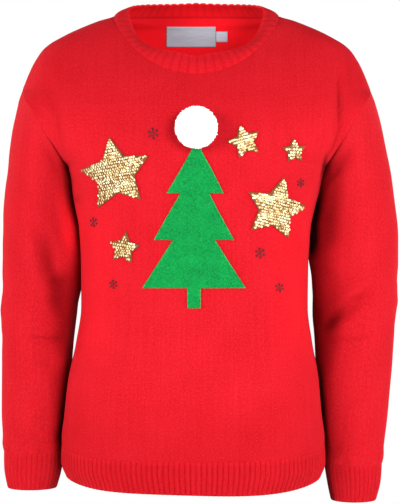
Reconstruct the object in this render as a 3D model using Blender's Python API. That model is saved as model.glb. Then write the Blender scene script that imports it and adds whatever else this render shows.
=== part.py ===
"""A long-sleeved knitted sweater with a ribbed crew neck, cuffs and hem, in the hollow form that it has when worn.

Row frame: metres, +Z up, the front faces -Y, +X is the wearer's left. The origin is the middle of the neck at the
height of the two shoulder neck points, where the wearer's shoulders hold the sweater up.

The body is a tube of superellipse sections, cut at the sides into a front and a back. Its shoulders drop over the
upper arms to an armhole seam, which is the first ring of each sleeve. All the tables below are in millimetres.
"""

import math

import bmesh
import bpy
import numpy as np

MM = 0.001

# ---- driving sizes, mm ----
KNIT_WALL = 2.2  # thickness of the stocking-stitch knit
RIB_WALL = 3.0  # thickness of the ribbing
SEAM_GAP = 0.3  # space between neighbouring pieces
HEM_TOP = -553.0  # height where the hem rib starts, at centre front
HEM_EDGE = -591.0  # height of the lower edge, at centre front
HEM_SIDE_LIFT = 9.0  # how much higher both lines are at the side seams
SECTION_POWER = 2.3  # how square a body section is across
ARMPIT_HEIGHT = -190.0
TIP_HEIGHT = -97.0  # where the dropped armhole seam crosses the outside of the arm
ARMHOLE_SQUARENESS = 0.85
NECK_HALF_WIDTH = 105.0  # of the seam under the neckband
NECK_FRONT_DROP = 82.0
NECK_BACK_RISE = 10.0
NECK_FRONT_CURVE = 1.37
NECK_BACK_CURVE = 1.25
BAND_HALF_WIDTH = 86.0  # of the open edge of the neckband
BAND_FRONT = 75.0
BAND_BACK = 62.0
BAND_BULGE = 1.6
CREASE_REACH = 5.0  # how closely the armhole's pull stays by the seam

# ---- how finely the cloth is faceted ----
ACROSS = 22  # across each body panel
SIDE_ROWS = 11  # rows from the hem rib to the armpit
ARM_ROWS = 10  # rows from the armpit to the shoulder tip, half a sleeve's ring
RIB_ROWS = 2
NECK_SHARE = 5 / 11  # share of a panel's columns that end at the neckline

# height, half width inside (beyond the side seam near the arms), depth of the front, depth of the back
BODY = (
    ("height", "spread", "front", "back"),
    (-600.0, 152.0, 100.0, 91.0),
    (-582.0, 160.5, 104.0, 94.5),
    (-565.0, 166.0, 106.5, 96.5),
    (-534.0, 166.5, 107.0, 97.0),
    (-505.0, 163.0, 108.0, 96.0),
    (-455.0, 158.0, 109.0, 94.0),
    (-413.0, 149.5, 110.0, 93.0),
    (-367.0, 143.5, 111.0, 92.5),
    (-314.0, 144.0, 113.0, 94.0),
    (-262.0, 147.5, 115.0, 97.5),
    (-222.0, 160.0, 115.5, 101.0),
    (-190.0, 175.0, 114.5, 103.5),
    (-165.0, 193.0, 112.0, 104.5),
    (-144.0, 207.0, 109.0, 104.5),
    (-122.0, 217.0, 104.0, 104.0),
    (-97.0, 220.5, 94.0, 102.0),
    (-86.0, 217.0, 89.0, 100.5),
    (-63.0, 207.3, 75.5, 97.5),
    (-51.0, 200.3, 67.5, 95.0),
    (-44.0, 195.3, 62.5, 93.5),
    (-36.0, 186.4, 57.0, 92.0),
    (-28.5, 174.0, 52.0, 91.0),
    (-21.0, 160.0, 47.0, 89.5),
    (-13.0, 142.5, 41.0, 87.5),
    (-5.7, 123.6, 34.0, 86.0),
    (0.0, 105.0, 30.0, 84.0),
    (12.0, 99.0, 30.0, 80.0),
)

# height, half width of the side seam, from the hem to the armpit
SIDE = (
    ("height", "half_width"),
    (-600.0, 152.0),
    (-582.0, 160.5),
    (-565.0, 166.0),
    (-534.0, 166.5),
    (-505.0, 163.0),
    (-455.0, 158.0),
    (-413.0, 149.5),
    (-367.0, 143.5),
    (-314.0, 144.0),
    (-268.0, 146.5),
    (-240.0, 152.5),
    (-222.0, 156.5),
    (-204.0, 159.5),
    (-190.0, 163.0),
)

# height, how far the body's middle stands towards the wearer's left
LEAN = (
    ("height", "across"),
    (-600.0, -3.6),
    (-500.0, -4.2),
    (-400.0, -2.8),
    (-260.0, -2.6),
    (-190.0, 0.0),
    (20.0, 0.0),
)

# One row for each ring of a sleeve: its outermost point, its underarm point and its half depths.
# The first ring is the armhole seam, which is the same on both sides, and the last is where the cuff starts.
SLEEVE_COLUMNS = ("outer", "outer_height", "inner", "inner_height", "front", "back", "centre")
LEFT_SLEEVE = (
    (220.5, -97.0, 163.0, -190.0, 60.0, 64.0, 0.0),
    (230.5, -127.0, 160.6, -206.0, 57.0, 60.0, 7.0),
    (239.3, -162.0, 155.2, -225.0, 54.5, 57.0, 11.0),
    (248.2, -199.0, 148.6, -247.0, 52.5, 55.0, 15.0),
    (253.4, -238.0, 143.0, -270.0, 51.0, 53.0, 18.0),
    (257.1, -281.0, 142.8, -299.0, 50.0, 51.5, 19.0),
    (257.6, -326.0, 147.4, -334.0, 49.0, 50.0, 20.0),
    (255.5, -370.0, 148.3, -373.0, 47.5, 48.5, 20.0),
    (252.0, -413.0, 151.0, -414.0, 45.0, 46.0, 20.0),
    (248.8, -456.0, 153.0, -456.0, 42.0, 43.0, 20.0),
    (243.4, -505.0, 157.8, -505.0, 37.5, 38.0, 19.0),
    (238.0, -550.0, 162.0, -550.0, 34.5, 34.5, 17.0),
    (236.3, -568.0, 163.4, -568.0, 32.5, 32.5, 16.0),
)
RIGHT_SLEEVE = (
    (220.5, -97.0, 163.0, -190.0, 60.0, 64.0, 0.0),
    (229.0, -127.0, 161.0, -206.5, 57.0, 60.0, 7.0),
    (236.8, -161.0, 157.8, -225.0, 54.0, 57.0, 11.0),
    (241.7, -198.0, 152.9, -247.0, 51.5, 54.0, 15.0),
    (245.4, -236.0, 148.2, -269.0, 49.5, 52.0, 18.0),
    (247.3, -279.0, 146.3, -297.0, 48.5, 50.5, 19.0),
    (248.5, -323.0, 146.0, -331.0, 48.0, 49.0, 20.0),
    (249.0, -367.0, 151.8, -370.0, 47.0, 48.0, 20.0),
    (249.0, -413.0, 157.0, -413.0, 45.0, 45.5, 20.0),
    (249.0, -458.0, 160.8, -458.0, 41.5, 42.0, 20.0),
    (248.9, -505.0, 166.2, -505.0, 38.0, 38.0, 19.0),
    (247.3, -535.0, 169.0, -535.0, 35.5, 35.5, 17.5),
    (245.6, -552.0, 170.0, -552.0, 34.0, 34.0, 17.0),
)
LEFT_CUFF = (
    (236.1, -568.3, 163.6, -568.3, 32.3, 32.3, 16.0),
    (234.0, -588.0, 167.4, -588.0, 31.0, 31.0, 15.0),
    (228.8, -609.0, 171.5, -609.0, 28.5, 28.5, 14.0),
)
RIGHT_CUFF = (
    (245.4, -552.3, 170.2, -552.3, 33.8, 33.8, 17.0),
    (244.5, -573.0, 173.0, -573.0, 32.5, 32.5, 16.0),
    (240.9, -595.0, 178.5, -595.0, 29.5, 29.5, 15.0),
)

# angle from the wearer's left (90 is the front), height of the neckband's open edge
BAND_EDGE = (
    ("angle", "height"),
    (-90.0, 26.5),
    (-45.0, 21.5),
    (0.0, 8.0),
    (45.0, -43.0),
    (90.0, -59.0),
)

# ---- what is sewn on, mm ----
PATCH_LIFT, PATCH_WALL = 0.3, 1.6
STARS = (
    ("name", "across", "height", "radius", "turn_deg"),
    ("star_big", -97.0, -204.0, 45.0, 10.0),
    ("star_mid", 98.0, -246.0, 39.0, -12.0),
    ("star_small_a", 58.0, -166.0, 21.0, 18.0),
    ("star_small_b", -84.0, -294.0, 20.0, -8.0),
    ("star_small_c", 118.0, -176.0, 15.0, 4.0),
)
STAR_WAIST = 0.52  # inner radius of a star over its outer one
TREE_TOP = -166.0
# one row for each tier of the fir tree, from the top
TREE = (
    ("height", "half_width", "next_half_width"),
    (-228.0, 34.0, 17.0),
    (-284.0, 48.0, 25.0),
    (-342.0, 62.0, 9.0),
)
TRUNK_FOOT = -366.0
POMPOM = {"across": 0.0, "height": -150.0, "radius": 25.0, "half_thickness": 15.0, "clear": 0.6}
LABEL = {"left": -40.0, "right": 25.5, "top": -1.0, "foot": -27.3, "wall": 0.7}
TAB = {"left": 25.9, "right": 41.0, "top": -7.6, "foot": -20.8, "wall": 0.7}

RED, DEEP_RED = (0.72, 0.010, 0.018, 1.0), (0.62, 0.008, 0.014, 1.0)
GREEN, GOLD, WHITE = (0.004, 0.38, 0.085, 1.0), (0.83, 0.60, 0.24, 1.0), (0.9, 0.9, 0.88, 1.0)
SATIN = (0.52, 0.54, 0.58, 1.0)


# ---- curves through a table ----
def column(table, name):
    """A named column of a table whose first row holds the names."""
    k = table[0].index(name)
    return np.array([row[k] for row in table[1:]], float)


def through(xs, ys, at):
    """A smooth curve through points with rising xs, which never overshoots them."""
    xs, ys, at = np.asarray(xs, float), np.asarray(ys, float), np.asarray(at, float)
    gap = np.diff(xs)
    slope = np.diff(ys) / gap
    inner = np.where(
        slope[1:] * slope[:-1] > 0,
        2 * slope[1:] * slope[:-1] / np.where(slope[1:] + slope[:-1] == 0, 1, slope[1:] + slope[:-1]),
        0.0,
    )
    tangent = np.concatenate([[slope[0]], inner, [slope[-1]]])
    i = np.clip(np.searchsorted(xs, at) - 1, 0, len(gap) - 1)
    t = np.clip((at - xs[i]) / gap[i], 0, 1)
    return (
        (2 * t**3 - 3 * t**2 + 1) * ys[i]
        + (t**3 - 2 * t**2 + t) * gap[i] * tangent[i]
        + (-2 * t**3 + 3 * t**2) * ys[i + 1]
        + (t**3 - t**2) * gap[i] * tangent[i + 1]
    )


def body_at(name, height):
    return through(column(BODY, "height"), column(BODY, name), height)


def side_at(height):
    return through(column(SIDE, "height"), column(SIDE, "half_width"), height)


def lean_at(height):
    return through(column(LEAN, "height"), column(LEAN, "across"), height)


# ---- the armhole seam, an oval in a slanting plane ----
TIP = np.array([LEFT_SLEEVE[0][0], TIP_HEIGHT])
ARMPIT = np.array([LEFT_SLEEVE[0][2], ARMPIT_HEIGHT])
ARM_MIDDLE, ARM_HALF = (TIP + ARMPIT) / 2, (TIP - ARMPIT) / 2


def armhole_depth(half_depth, angle):
    return half_depth * np.abs(np.sin(angle)) ** ARMHOLE_SQUARENESS


def edge_at(height, side):
    """(half width of the panel, half width that its section heads for) at a height, on the front or the back."""
    height = np.asarray(height, float)
    c = np.clip((height - ARM_MIDDLE[1]) / ARM_HALF[1], -1, 1)
    seam_x = ARM_MIDDLE[0] + ARM_HALF[0] * c
    seam_depth = armhole_depth(LEFT_SLEEVE[0][4 if side == "front" else 5], np.arccos(c))
    share = np.clip(seam_depth / body_at(side, height), 0, 0.98)
    heads_for = seam_x / (1 - share**2) ** (1 / SECTION_POWER)
    outline = body_at("spread", height)
    low, high = height <= ARMPIT_HEIGHT, height >= TIP_HEIGHT
    edge = np.where(low, side_at(height), np.where(high, outline, seam_x))
    return edge, np.where(low | high, edge, heads_for)


def depth_at(x, height, side):
    """How far the front or the back stands from the plane of the side seams."""
    edge, heads_for = edge_at(height, side)
    spread = np.maximum(body_at("spread", height), edge)
    near = np.clip(np.abs(x) / edge, 0, 1) ** CREASE_REACH
    width = spread + (heads_for - spread) * near
    inside = np.clip(1 - (np.abs(x) / width) ** SECTION_POWER, 0, 1)
    return body_at(side, height) * np.sqrt(inside)


# ---- outlines of a body panel in the front view ----
def hem_height(x, half_width, level):
    return level + HEM_SIDE_LIFT * np.abs(x / half_width) ** 6


def across_share(u):
    """Spreads a panel's columns so that they are even along the cloth and close together at its sides."""
    return np.sign(u) * np.sin(np.abs(u) * math.pi / 2) ** (2 / SECTION_POWER)


def bottom_edge(u):
    half = side_at(HEM_TOP)
    x = half * across_share(u)
    return x, hem_height(x, half, HEM_TOP)


def neckline(u, side):
    """Front-view points of the seam under the neckband, for u from -1 to 1 across it."""
    angle = (1 - np.abs(u)) * math.pi / 2
    drop, curve = (-NECK_FRONT_DROP, NECK_FRONT_CURVE) if side == "front" else (NECK_BACK_RISE, NECK_BACK_CURVE)
    return np.sign(u) * NECK_HALF_WIDTH * np.cos(angle), drop * np.sin(angle) ** curve


def shoulder(s):
    """Front-view points of the shoulder seam, s from 0 at the neck to 1 at the tip, even along the seam."""
    heights = np.linspace(0.0, TIP_HEIGHT, 60)
    xs = body_at("spread", heights)
    run = np.concatenate([[0], np.cumsum(np.hypot(np.diff(xs), np.diff(heights)))])
    return np.interp(s * run[-1], run, xs), np.interp(s * run[-1], run, heights)


def top_edge(u, side):
    neck_x, neck_z = neckline(np.clip(u / NECK_SHARE, -1, 1), side)
    out_x, out_z = shoulder(np.clip((np.abs(u) - NECK_SHARE) / (1 - NECK_SHARE), 0, 1))
    at_neck = np.abs(u) <= NECK_SHARE + 1e-9
    return np.where(at_neck, neck_x, np.sign(u) * out_x), np.where(at_neck, neck_z, out_z)


def side_edge():
    """Front-view points of the side seam and then the armhole, from the hem rib to the tip, with each one's angle."""
    foot = hem_height(1.0, 1.0, HEM_TOP)
    seam = np.linspace(foot, ARMPIT_HEIGHT, SIDE_ROWS + 1)
    angle = np.linspace(math.pi, 0, ARM_ROWS + 1)[1:]
    x = np.concatenate([side_at(seam), ARM_MIDDLE[0] + ARM_HALF[0] * np.cos(angle)])
    z = np.concatenate([seam, ARM_MIDDLE[1] + ARM_HALF[1] * np.cos(angle)])
    return x, z, np.concatenate([np.full(SIDE_ROWS, math.pi), [math.pi], angle])


def panel_points(side):
    """The grid of a body panel, hem rib to shoulders by side to side, as points in mm."""
    columns = np.linspace(-1, 1, ACROSS + 1)
    bx, bz = bottom_edge(columns)
    tx, tz = top_edge(columns, side)
    ex, ez, _ = side_edge()
    up = ((ez - ez[0]) / (ez[-1] - ez[0]))[:, None]
    w = across_share(columns)[None, :]
    straight_x = (1 - up) * bx[-1] + up * tx[-1]
    straight_z = (1 - up) * bz[-1] + up * tz[-1]
    x = (1 - up) * bx + up * tx + w * (ex[:, None] - straight_x)
    z = (1 - up) * bz + up * tz + np.abs(w) ** 2 * (ez[:, None] - straight_z)
    depth = depth_at(x, z, side)
    depth[:, [0, -1]] = np.where(
        (ez > ARMPIT_HEIGHT)[:, None],
        armhole_depth(LEFT_SLEEVE[0][4 if side == "front" else 5], side_edge()[2])[:, None],
        0.0,
    )
    off_neck = np.abs(columns) > NECK_SHARE - 1e-9
    depth[-1, off_neck] = 0.0
    y = -depth if side == "front" else depth
    return np.stack([x + lean_at(z), y, z], axis=-1)


# ---- normals, walls and seams ----
def unit(v):
    return v / np.maximum(np.linalg.norm(v, axis=-1, keepdims=True), 1e-9)


def grid_normals(points, closed=False, outward=1.0):
    if closed:
        along = np.roll(points, -1, axis=1) - np.roll(points, 1, axis=1)
    else:
        along = np.gradient(points, axis=1)
    up = np.gradient(points, axis=0)
    return unit(np.cross(along, up)) * outward


def seam_way(tangent, normal, towards):
    """The direction square to a seam that lies in the cloth, on the side given."""
    way = unit(np.cross(tangent, normal))
    return way * np.sign((way * towards).sum(-1, keepdims=True))


def armhole_normals(angle, sign, half_depth):
    """Outward normals of the armhole oval in its own plane. Near the armpit they turn to point straight down, between the two cloths that meet there."""
    half = np.hypot(*ARM_HALF)
    a = ARM_HALF / half
    c, s = np.cos(angle) / half, np.sin(angle) / abs(half_depth)
    n = unit(np.stack([sign * a[0] * c, -np.sign(half_depth) * s, a[1] * c], axis=-1))
    w = np.clip((-np.cos(angle) - 0.75) / 0.25, 0, 1)[:, None]
    return n * (1 - w) + np.array([0.0, 0.0, -1.7]) * w


SEAM_WAY = np.array([-ARM_HALF[1], ARM_HALF[0]]) / np.hypot(*ARM_HALF)  # across the armhole's plane, towards the body


def sleeve_rows(table, sign, around, turn=0.0):
    """Rings of a sleeve or cuff and their outward normals, from a table, for the angles given. sign is +1 on the wearer's left."""
    points, normals = [], []
    for outer, outer_z, inner, inner_z, front, back, centre in table:
        middle, half = np.array([outer + inner, outer_z + inner_z]) / 2, np.array([outer - inner, outer_z - inner_z]) / 2
        c, s = np.cos(around), np.sin(around)
        depth = np.where(s >= 0, front, back)
        oblique = abs(half[1]) / np.hypot(*half)
        power = 1 - (1 - ARMHOLE_SQUARENESS) * min(1.0, oblique / 0.83)
        points.append(np.stack([sign * (middle[0] + half[0] * c), centre - depth * np.sign(s) * np.abs(s) ** power, middle[1] + half[1] * c], axis=-1))
        length = np.hypot(*half)
        normals.append(unit(np.stack([sign * half[0] / length * c / length, -s / depth, half[1] / length * c / length], axis=-1)))
    return np.array(points), np.array(normals)


def resample(table, rows):
    """The table's rings at even steps along the sleeve, on smooth curves through them."""
    t = np.linspace(0, 1, len(table))
    at = np.linspace(0, 1, rows + 1)
    return [tuple(r) for r in np.stack([through(t, np.array(table)[:, k], at) for k in range(7)], axis=1)]


# ---- solids ----
def material(name, colour, roughness, metallic=0.0, sheen=0.0):
    made = bpy.data.materials.new(name)
    made.use_nodes = True
    shader = made.node_tree.nodes["Principled BSDF"]
    shader.inputs["Base Color"].default_value = colour
    shader.inputs["Roughness"].default_value = roughness
    shader.inputs["Metallic"].default_value = metallic
    shader.inputs["Sheen Weight"].default_value = sheen
    made.diffuse_color = colour
    return made


def finish(name, bm, mat, smooth=True):
    bmesh.ops.triangulate(bm, faces=[f for f in bm.faces if len(f.verts) > 3], quad_method="SHORT_EDGE")
    if bm.calc_volume(signed=True) < 0:
        bmesh.ops.reverse_faces(bm, faces=bm.faces[:])
    mesh = bpy.data.meshes.new(name)
    bm.to_mesh(mesh)
    bm.free()
    if smooth:
        mesh.shade_smooth()
        mesh.set_sharp_from_angle(angle=math.radians(50))
    obj = bpy.data.objects.new(name, mesh)
    bpy.context.scene.collection.objects.link(obj)
    mesh.materials.append(mat)
    return obj


def wall(name, outer, inner, mat, closed=False):
    """A closed wall between two grids of points in mm. closed joins the last column to the first, as in a tube."""
    bm = bmesh.new()
    grids = [[[bm.verts.new([float(c) * MM for c in p]) for p in row] for row in grid] for grid in (outer, inner)]
    rows, columns = len(outer), len(outer[0])
    steps = columns if closed else columns - 1
    for r in range(rows - 1):
        for c in range(steps):
            d = (c + 1) % columns
            (o00, o01, o10, o11), (i00, i01, i10, i11) = (
                (g[r][c], g[r][d], g[r + 1][c], g[r + 1][d]) for g in grids
            )
            bm.faces.new((o00, o01, o11, o10))
            bm.faces.new((i00, i10, i11, i01))
    outside, inside = grids
    for r, flip in ((0, 1), (rows - 1, 0)):
        for c in range(steps):
            d = (c + 1) % columns
            ring = [outside[r][c], outside[r][d], inside[r][d], inside[r][c]]
            bm.faces.new(ring[::-1] if flip else ring)
    if not closed:
        for c, flip in ((0, 0), (columns - 1, 1)):
            for r in range(rows - 1):
                ring = [outside[r][c], outside[r + 1][c], inside[r + 1][c], inside[r][c]]
                bm.faces.new(ring[::-1] if flip else ring)
    bmesh.ops.recalc_face_normals(bm, faces=bm.faces[:])
    return finish(name, bm, mat)


def panel_grids(side, lift=0.0, thickness=KNIT_WALL):
    """Outer and inner points of a body panel, with its seams drawn back by half a gap. lift moves both out."""
    points = panel_points(side)
    front = side == "front"
    normals = grid_normals(points, outward=1.0 if front else -1.0)
    flat = np.array([1.0, 0.0, 1.0])
    edge_angle = side_edge()[2]
    half_depth = LEFT_SLEEVE[0][4] if front else -LEFT_SLEEVE[0][5]
    for c, sign in ((0, -1.0), (-1, 1.0)):
        seam = unit(normals[:, c] * flat)
        arm = armhole_normals(edge_angle, sign, half_depth)
        normals[:, c] = np.where((np.arange(len(seam)) >= SIDE_ROWS)[:, None], arm, seam)
    columns = np.linspace(-1, 1, ACROSS + 1)
    for c in np.flatnonzero((np.abs(columns) > NECK_SHARE - 1e-9) & (np.abs(columns) < 1)):
        sign = np.sign(columns[c])
        tangent = points[-1, c + 1] - points[-1, c - 1]
        if abs(abs(columns[c]) - NECK_SHARE) < 0.02:
            tangent = (points[-1, c + 1] - points[-1, c]) if sign > 0 else (points[-1, c] - points[-1, c - 1])
        normals[-1, c] = unit(np.array([-tangent[2], 0.0, tangent[0]]))
    normals[0] = unit(normals[0] * np.array([1.0, 1.0, 0.0]))
    half = SEAM_GAP / 2
    drawn = points.copy()
    back = -half if front else half
    drawn[: SIDE_ROWS + 1, [0, -1], 1] += back
    drawn[-1, np.abs(columns) > NECK_SHARE - 1e-9, 1] += back
    for c, sign in ((0, -1.0), (-1, 1.0)):
        drawn[SIDE_ROWS:, c] += np.array([sign * SEAM_WAY[0], 0.0, SEAM_WAY[1]]) * half
    neck = np.flatnonzero(np.abs(columns) < NECK_SHARE + 1e-9)
    tangent = np.gradient(points[-1, neck], axis=0)
    tangent[[0, -1]] = (0.0, 1.0, 0.0)
    drawn[-1, neck] += seam_way(tangent, normals[-1, neck], points[-2, neck] - points[-1, neck]) * half
    drawn[0, :, 2] += half
    outer = drawn + normals * lift
    return outer, outer - normals * thickness, normals


def neck_loop(side):
    """The seam under the neckband on one panel, and the panel's normals there."""
    columns = np.linspace(-1, 1, ACROSS + 1)
    neck = np.flatnonzero(np.abs(columns) < NECK_SHARE + 1e-9)
    return panel_points(side)[-1, neck], panel_grids(side)[2][-1, neck]


def neckband_grids():
    """Outer and inner points of the neckband, from its seam to its open edge, all round the neck."""
    front, front_n = neck_loop("front")
    back, back_n = neck_loop("back")
    seam = np.concatenate([front, back[::-1][1:-1]])
    seam_n = np.concatenate([front_n, back_n[::-1][1:-1]])
    angle = np.arctan2(-seam[:, 1] / 84.0, seam[:, 0] / NECK_HALF_WIDTH)
    turned = np.degrees(angle)
    folded = np.where(np.abs(turned) > 90, np.sign(turned) * 180 - turned, turned)
    edge = np.stack(
        [
            BAND_HALF_WIDTH * np.cos(angle),
            (BAND_BACK - BAND_FRONT) / 2 - (BAND_BACK + BAND_FRONT) / 2 * np.sin(angle),
            through(column(BAND_EDGE, "angle"), column(BAND_EDGE, "height"), folded),
        ],
        axis=-1,
    )
    across = unit(edge - seam)
    around = np.roll(edge, -1, axis=0) - np.roll(edge, 1, axis=0)
    normal = unit(np.cross(around, across))
    normal *= np.sign((normal * (edge - np.array([0.0, 0.0, -60.0]))).sum(1))[:, None]
    rows, normals = [], []
    for k in range(RIB_ROWS + 1):
        t = k / RIB_ROWS
        rows.append(seam * (1 - t) + edge * t + normal * BAND_BULGE * math.sin(math.pi * t))
        normals.append(unit(seam_n * (1 - t) ** 2 + normal * (1 - (1 - t) ** 2)))
    rows, normals = np.array(rows), np.array(normals)
    rows[0] += seam_way(np.roll(seam, -1, axis=0) - np.roll(seam, 1, axis=0), seam_n, across) * SEAM_GAP / 2
    return rows, rows - normals * RIB_WALL


def hem_grids(side):
    """Outer and inner points of the front or back hem rib."""
    columns = np.linspace(-1, 1, ACROSS + 1)
    top_x, top_z = bottom_edge(columns)
    rows = []
    for k in range(RIB_ROWS + 1):
        t = k / RIB_ROWS
        level = (HEM_TOP - SEAM_GAP / 2) * (1 - t) + HEM_EDGE * t
        height = hem_height(across_share(columns), 1.0, level)
        half = side_at(height)
        x = half * across_share(columns)
        depth = depth_at(x, height, side)
        depth[[0, -1]] = 0.0
        rows.append(np.stack([x + lean_at(height), -depth if side == "front" else depth, height], axis=-1))
    points = np.array(rows)[::-1]
    normals = grid_normals(points, outward=1.0 if side == "front" else -1.0)
    normals[:, [0, -1]] = unit(normals[:, [0, -1]] * np.array([1.0, 0.0, 0.0]))
    normals = unit(normals * np.array([1.0, 1.0, 0.0]))
    drawn = points.copy()
    drawn[:, [0, -1], 1] += -SEAM_GAP / 2 if side == "front" else SEAM_GAP / 2
    return drawn, drawn - normals * RIB_WALL


def sleeve_grids(table, sign, rows):
    around = np.linspace(0, 2 * math.pi, 2 * ARM_ROWS + 1)[:-1]
    points, normals = sleeve_rows(resample(table, rows), sign, around)
    if table[0][1] == TIP_HEIGHT:
        front = np.where(np.sin(around) >= 0, table[0][4], -table[0][5])
        normals[0] = armhole_normals(np.where(around <= math.pi, around, 2 * math.pi - around), sign, 1.0) * 0
        for k, a in enumerate(around):
            folded = a if a <= math.pi else 2 * math.pi - a
            normals[0, k] = armhole_normals(np.array([folded]), sign, front[k])[0]
        points[0] -= np.array([sign * SEAM_WAY[0], 0.0, SEAM_WAY[1]]) * SEAM_GAP
    return points, normals


def patch(name, side, outline, mat, lift, thickness, outward=True):
    """A thin piece that lies on a body panel: the panel's own points, moved out or in, and cut to an outline in the front view."""
    if outward:
        outer, inner, _ = panel_grids(side, lift=lift + thickness, thickness=thickness)
    else:
        outer, inner, _ = panel_grids(side, lift=-KNIT_WALL - lift, thickness=thickness)
    obj = wall(name, outer, inner, mat)
    bm = bmesh.new()
    ring = [bm.verts.new((x * MM, 0.0, z * MM)) for x, z in outline]
    face = bm.faces.new(ring)
    made = bmesh.ops.extrude_face_region(bm, geom=[face])
    reach = -0.4 if side == "front" else 0.4
    bmesh.ops.translate(bm, verts=[v for v in made["geom"] if isinstance(v, bmesh.types.BMVert)], vec=(0, reach, 0))
    bmesh.ops.recalc_face_normals(bm, faces=bm.faces[:])
    cutter = finish(name + "_outline", bm, mat, smooth=False)
    cutter.hide_render = True
    cutter.display_type = "WIRE"
    cut = obj.modifiers.new("outline", "BOOLEAN")
    cut.operation = "INTERSECT"
    cut.object = cutter
    return obj


def star_outline(across, height, radius, turn):
    points = []
    for k in range(10):
        r = radius if k % 2 == 0 else radius * STAR_WAIST
        a = math.radians(90 + turn + 36 * k)
        points.append((across + r * math.cos(a), height + r * math.sin(a)))
    return points


def tree_outline():
    right = [(0.0, TREE_TOP)]
    for height, half, then in zip(column(TREE, "height"), column(TREE, "half_width"), column(TREE, "next_half_width")):
        right += [(half, height), (then, height)]
    right[-1] = (8.0, right[-1][1])
    right.append((8.0, TRUNK_FOOT))
    return right + [(-x, z) for x, z in right[:0:-1]]


def box_outline(sizes):
    return [(sizes["left"], sizes["foot"]), (sizes["right"], sizes["foot"]), (sizes["right"], sizes["top"]), (sizes["left"], sizes["top"])]


def build():
    for obj in list(bpy.data.objects):
        bpy.data.objects.remove(obj)
    knit = material("red_knit", RED, 0.9, sheen=0.3)
    rib = material("red_rib", DEEP_RED, 0.9, sheen=0.3)
    terry = material("green_terry", GREEN, 1.0)
    sequin = material("gold_sequins", GOLD, 0.25, metallic=1.0)
    yarn = material("white_yarn", WHITE, 1.0)
    satin = material("grey_satin", SATIN, 0.35)

    for side in ("front", "back"):
        outer, inner, _ = panel_grids(side)
        wall(side + "_panel", outer, inner, knit)
        wall(side + "_hem_rib", *hem_grids(side), rib)
    for name, sleeve, cuff, sign in (("left", LEFT_SLEEVE, LEFT_CUFF, 1.0), ("right", RIGHT_SLEEVE, RIGHT_CUFF, -1.0)):
        points, normals = sleeve_grids(sleeve, sign, 15)
        wall(name + "_sleeve", points, points - normals * KNIT_WALL, knit, closed=True)
        points, normals = sleeve_grids(cuff, sign, RIB_ROWS)
        wall(name + "_cuff", points, points - normals * RIB_WALL, rib, closed=True)
    wall("neckband", *neckband_grids(), rib, closed=True)

    for name, across, height, radius, turn in STARS[1:]:
        patch(name, "front", star_outline(across, height, radius, turn), sequin, PATCH_LIFT, PATCH_WALL)
    patch("tree", "front", tree_outline(), terry, PATCH_LIFT, PATCH_WALL)
    patch("neck_label", "back", box_outline(LABEL), satin, PATCH_LIFT, LABEL["wall"], outward=False)
    patch("size_tab", "back", box_outline(TAB), satin, PATCH_LIFT, TAB["wall"], outward=False)

    bm = bmesh.new()
    bmesh.ops.create_uvsphere(bm, u_segments=18, v_segments=10, radius=1.0)
    for v in bm.verts:
        v.co = (v.co.x * POMPOM["radius"] * MM, v.co.y * POMPOM["half_thickness"] * MM, v.co.z * POMPOM["radius"] * MM)
    ball = finish("pompom", bm, yarn)
    away = float(depth_at(POMPOM["across"], POMPOM["height"], "front")) + PATCH_LIFT + PATCH_WALL + POMPOM["clear"] + POMPOM["half_thickness"]
    ball.location = (POMPOM["across"] * MM, -away * MM, POMPOM["height"] * MM)


build()
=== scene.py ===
"""The christmas sweater's visible surfaces: fine shells on the CAD form, with real ribs, folds, terry, sequins and yarn.

All tables are in millimetres in the row frame (+Z up, front towards -Y, origin at the middle of the neck)."""

import math

import bpy
import numpy as np
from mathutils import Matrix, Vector
from mathutils.geometry import delaunay_2d_cdt


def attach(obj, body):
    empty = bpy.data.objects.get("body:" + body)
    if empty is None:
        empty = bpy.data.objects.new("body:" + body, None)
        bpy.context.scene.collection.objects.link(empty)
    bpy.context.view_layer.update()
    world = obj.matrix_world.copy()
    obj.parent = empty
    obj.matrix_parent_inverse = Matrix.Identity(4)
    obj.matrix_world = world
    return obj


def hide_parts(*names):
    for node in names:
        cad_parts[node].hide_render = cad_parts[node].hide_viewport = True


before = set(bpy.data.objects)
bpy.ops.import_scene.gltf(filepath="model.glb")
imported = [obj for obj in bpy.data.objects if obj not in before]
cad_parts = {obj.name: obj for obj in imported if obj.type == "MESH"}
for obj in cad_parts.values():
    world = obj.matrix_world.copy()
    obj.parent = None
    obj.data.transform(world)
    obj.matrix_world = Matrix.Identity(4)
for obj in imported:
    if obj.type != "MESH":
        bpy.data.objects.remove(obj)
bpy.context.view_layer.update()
MM = 0.001
RNG = np.random.default_rng(24)

# ---- driving sizes, mm ----
KNIT_WALL = 2.2  # thickness of the stocking-stitch knit
RIB_WALL = 3.0  # thickness of the ribbing
SEAM_GAP = 0.3  # space between neighbouring pieces
HEM_TOP = -553.0  # height where the hem rib starts, at centre front
HEM_EDGE = -591.0  # height of the lower edge, at centre front
HEM_SIDE_LIFT = 9.0  # how much higher both lines are at the side seams
SECTION_POWER = 2.3  # how square a body section is across
ARMPIT_HEIGHT = -190.0
TIP_HEIGHT = -97.0  # where the dropped armhole seam crosses the outside of the arm
ARMHOLE_SQUARENESS = 0.85
NECK_HALF_WIDTH = 105.0  # of the seam under the neckband
NECK_FRONT_DROP = 82.0
NECK_BACK_RISE = 10.0
NECK_FRONT_CURVE = 1.37
NECK_BACK_CURVE = 1.25
BAND_HALF_WIDTH = 86.0  # of the open edge of the neckband
BAND_FRONT = 75.0
BAND_BACK = 62.0
BAND_BULGE = 1.6
CREASE_REACH = 5.0  # how closely the armhole's pull stays by the seam

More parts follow.
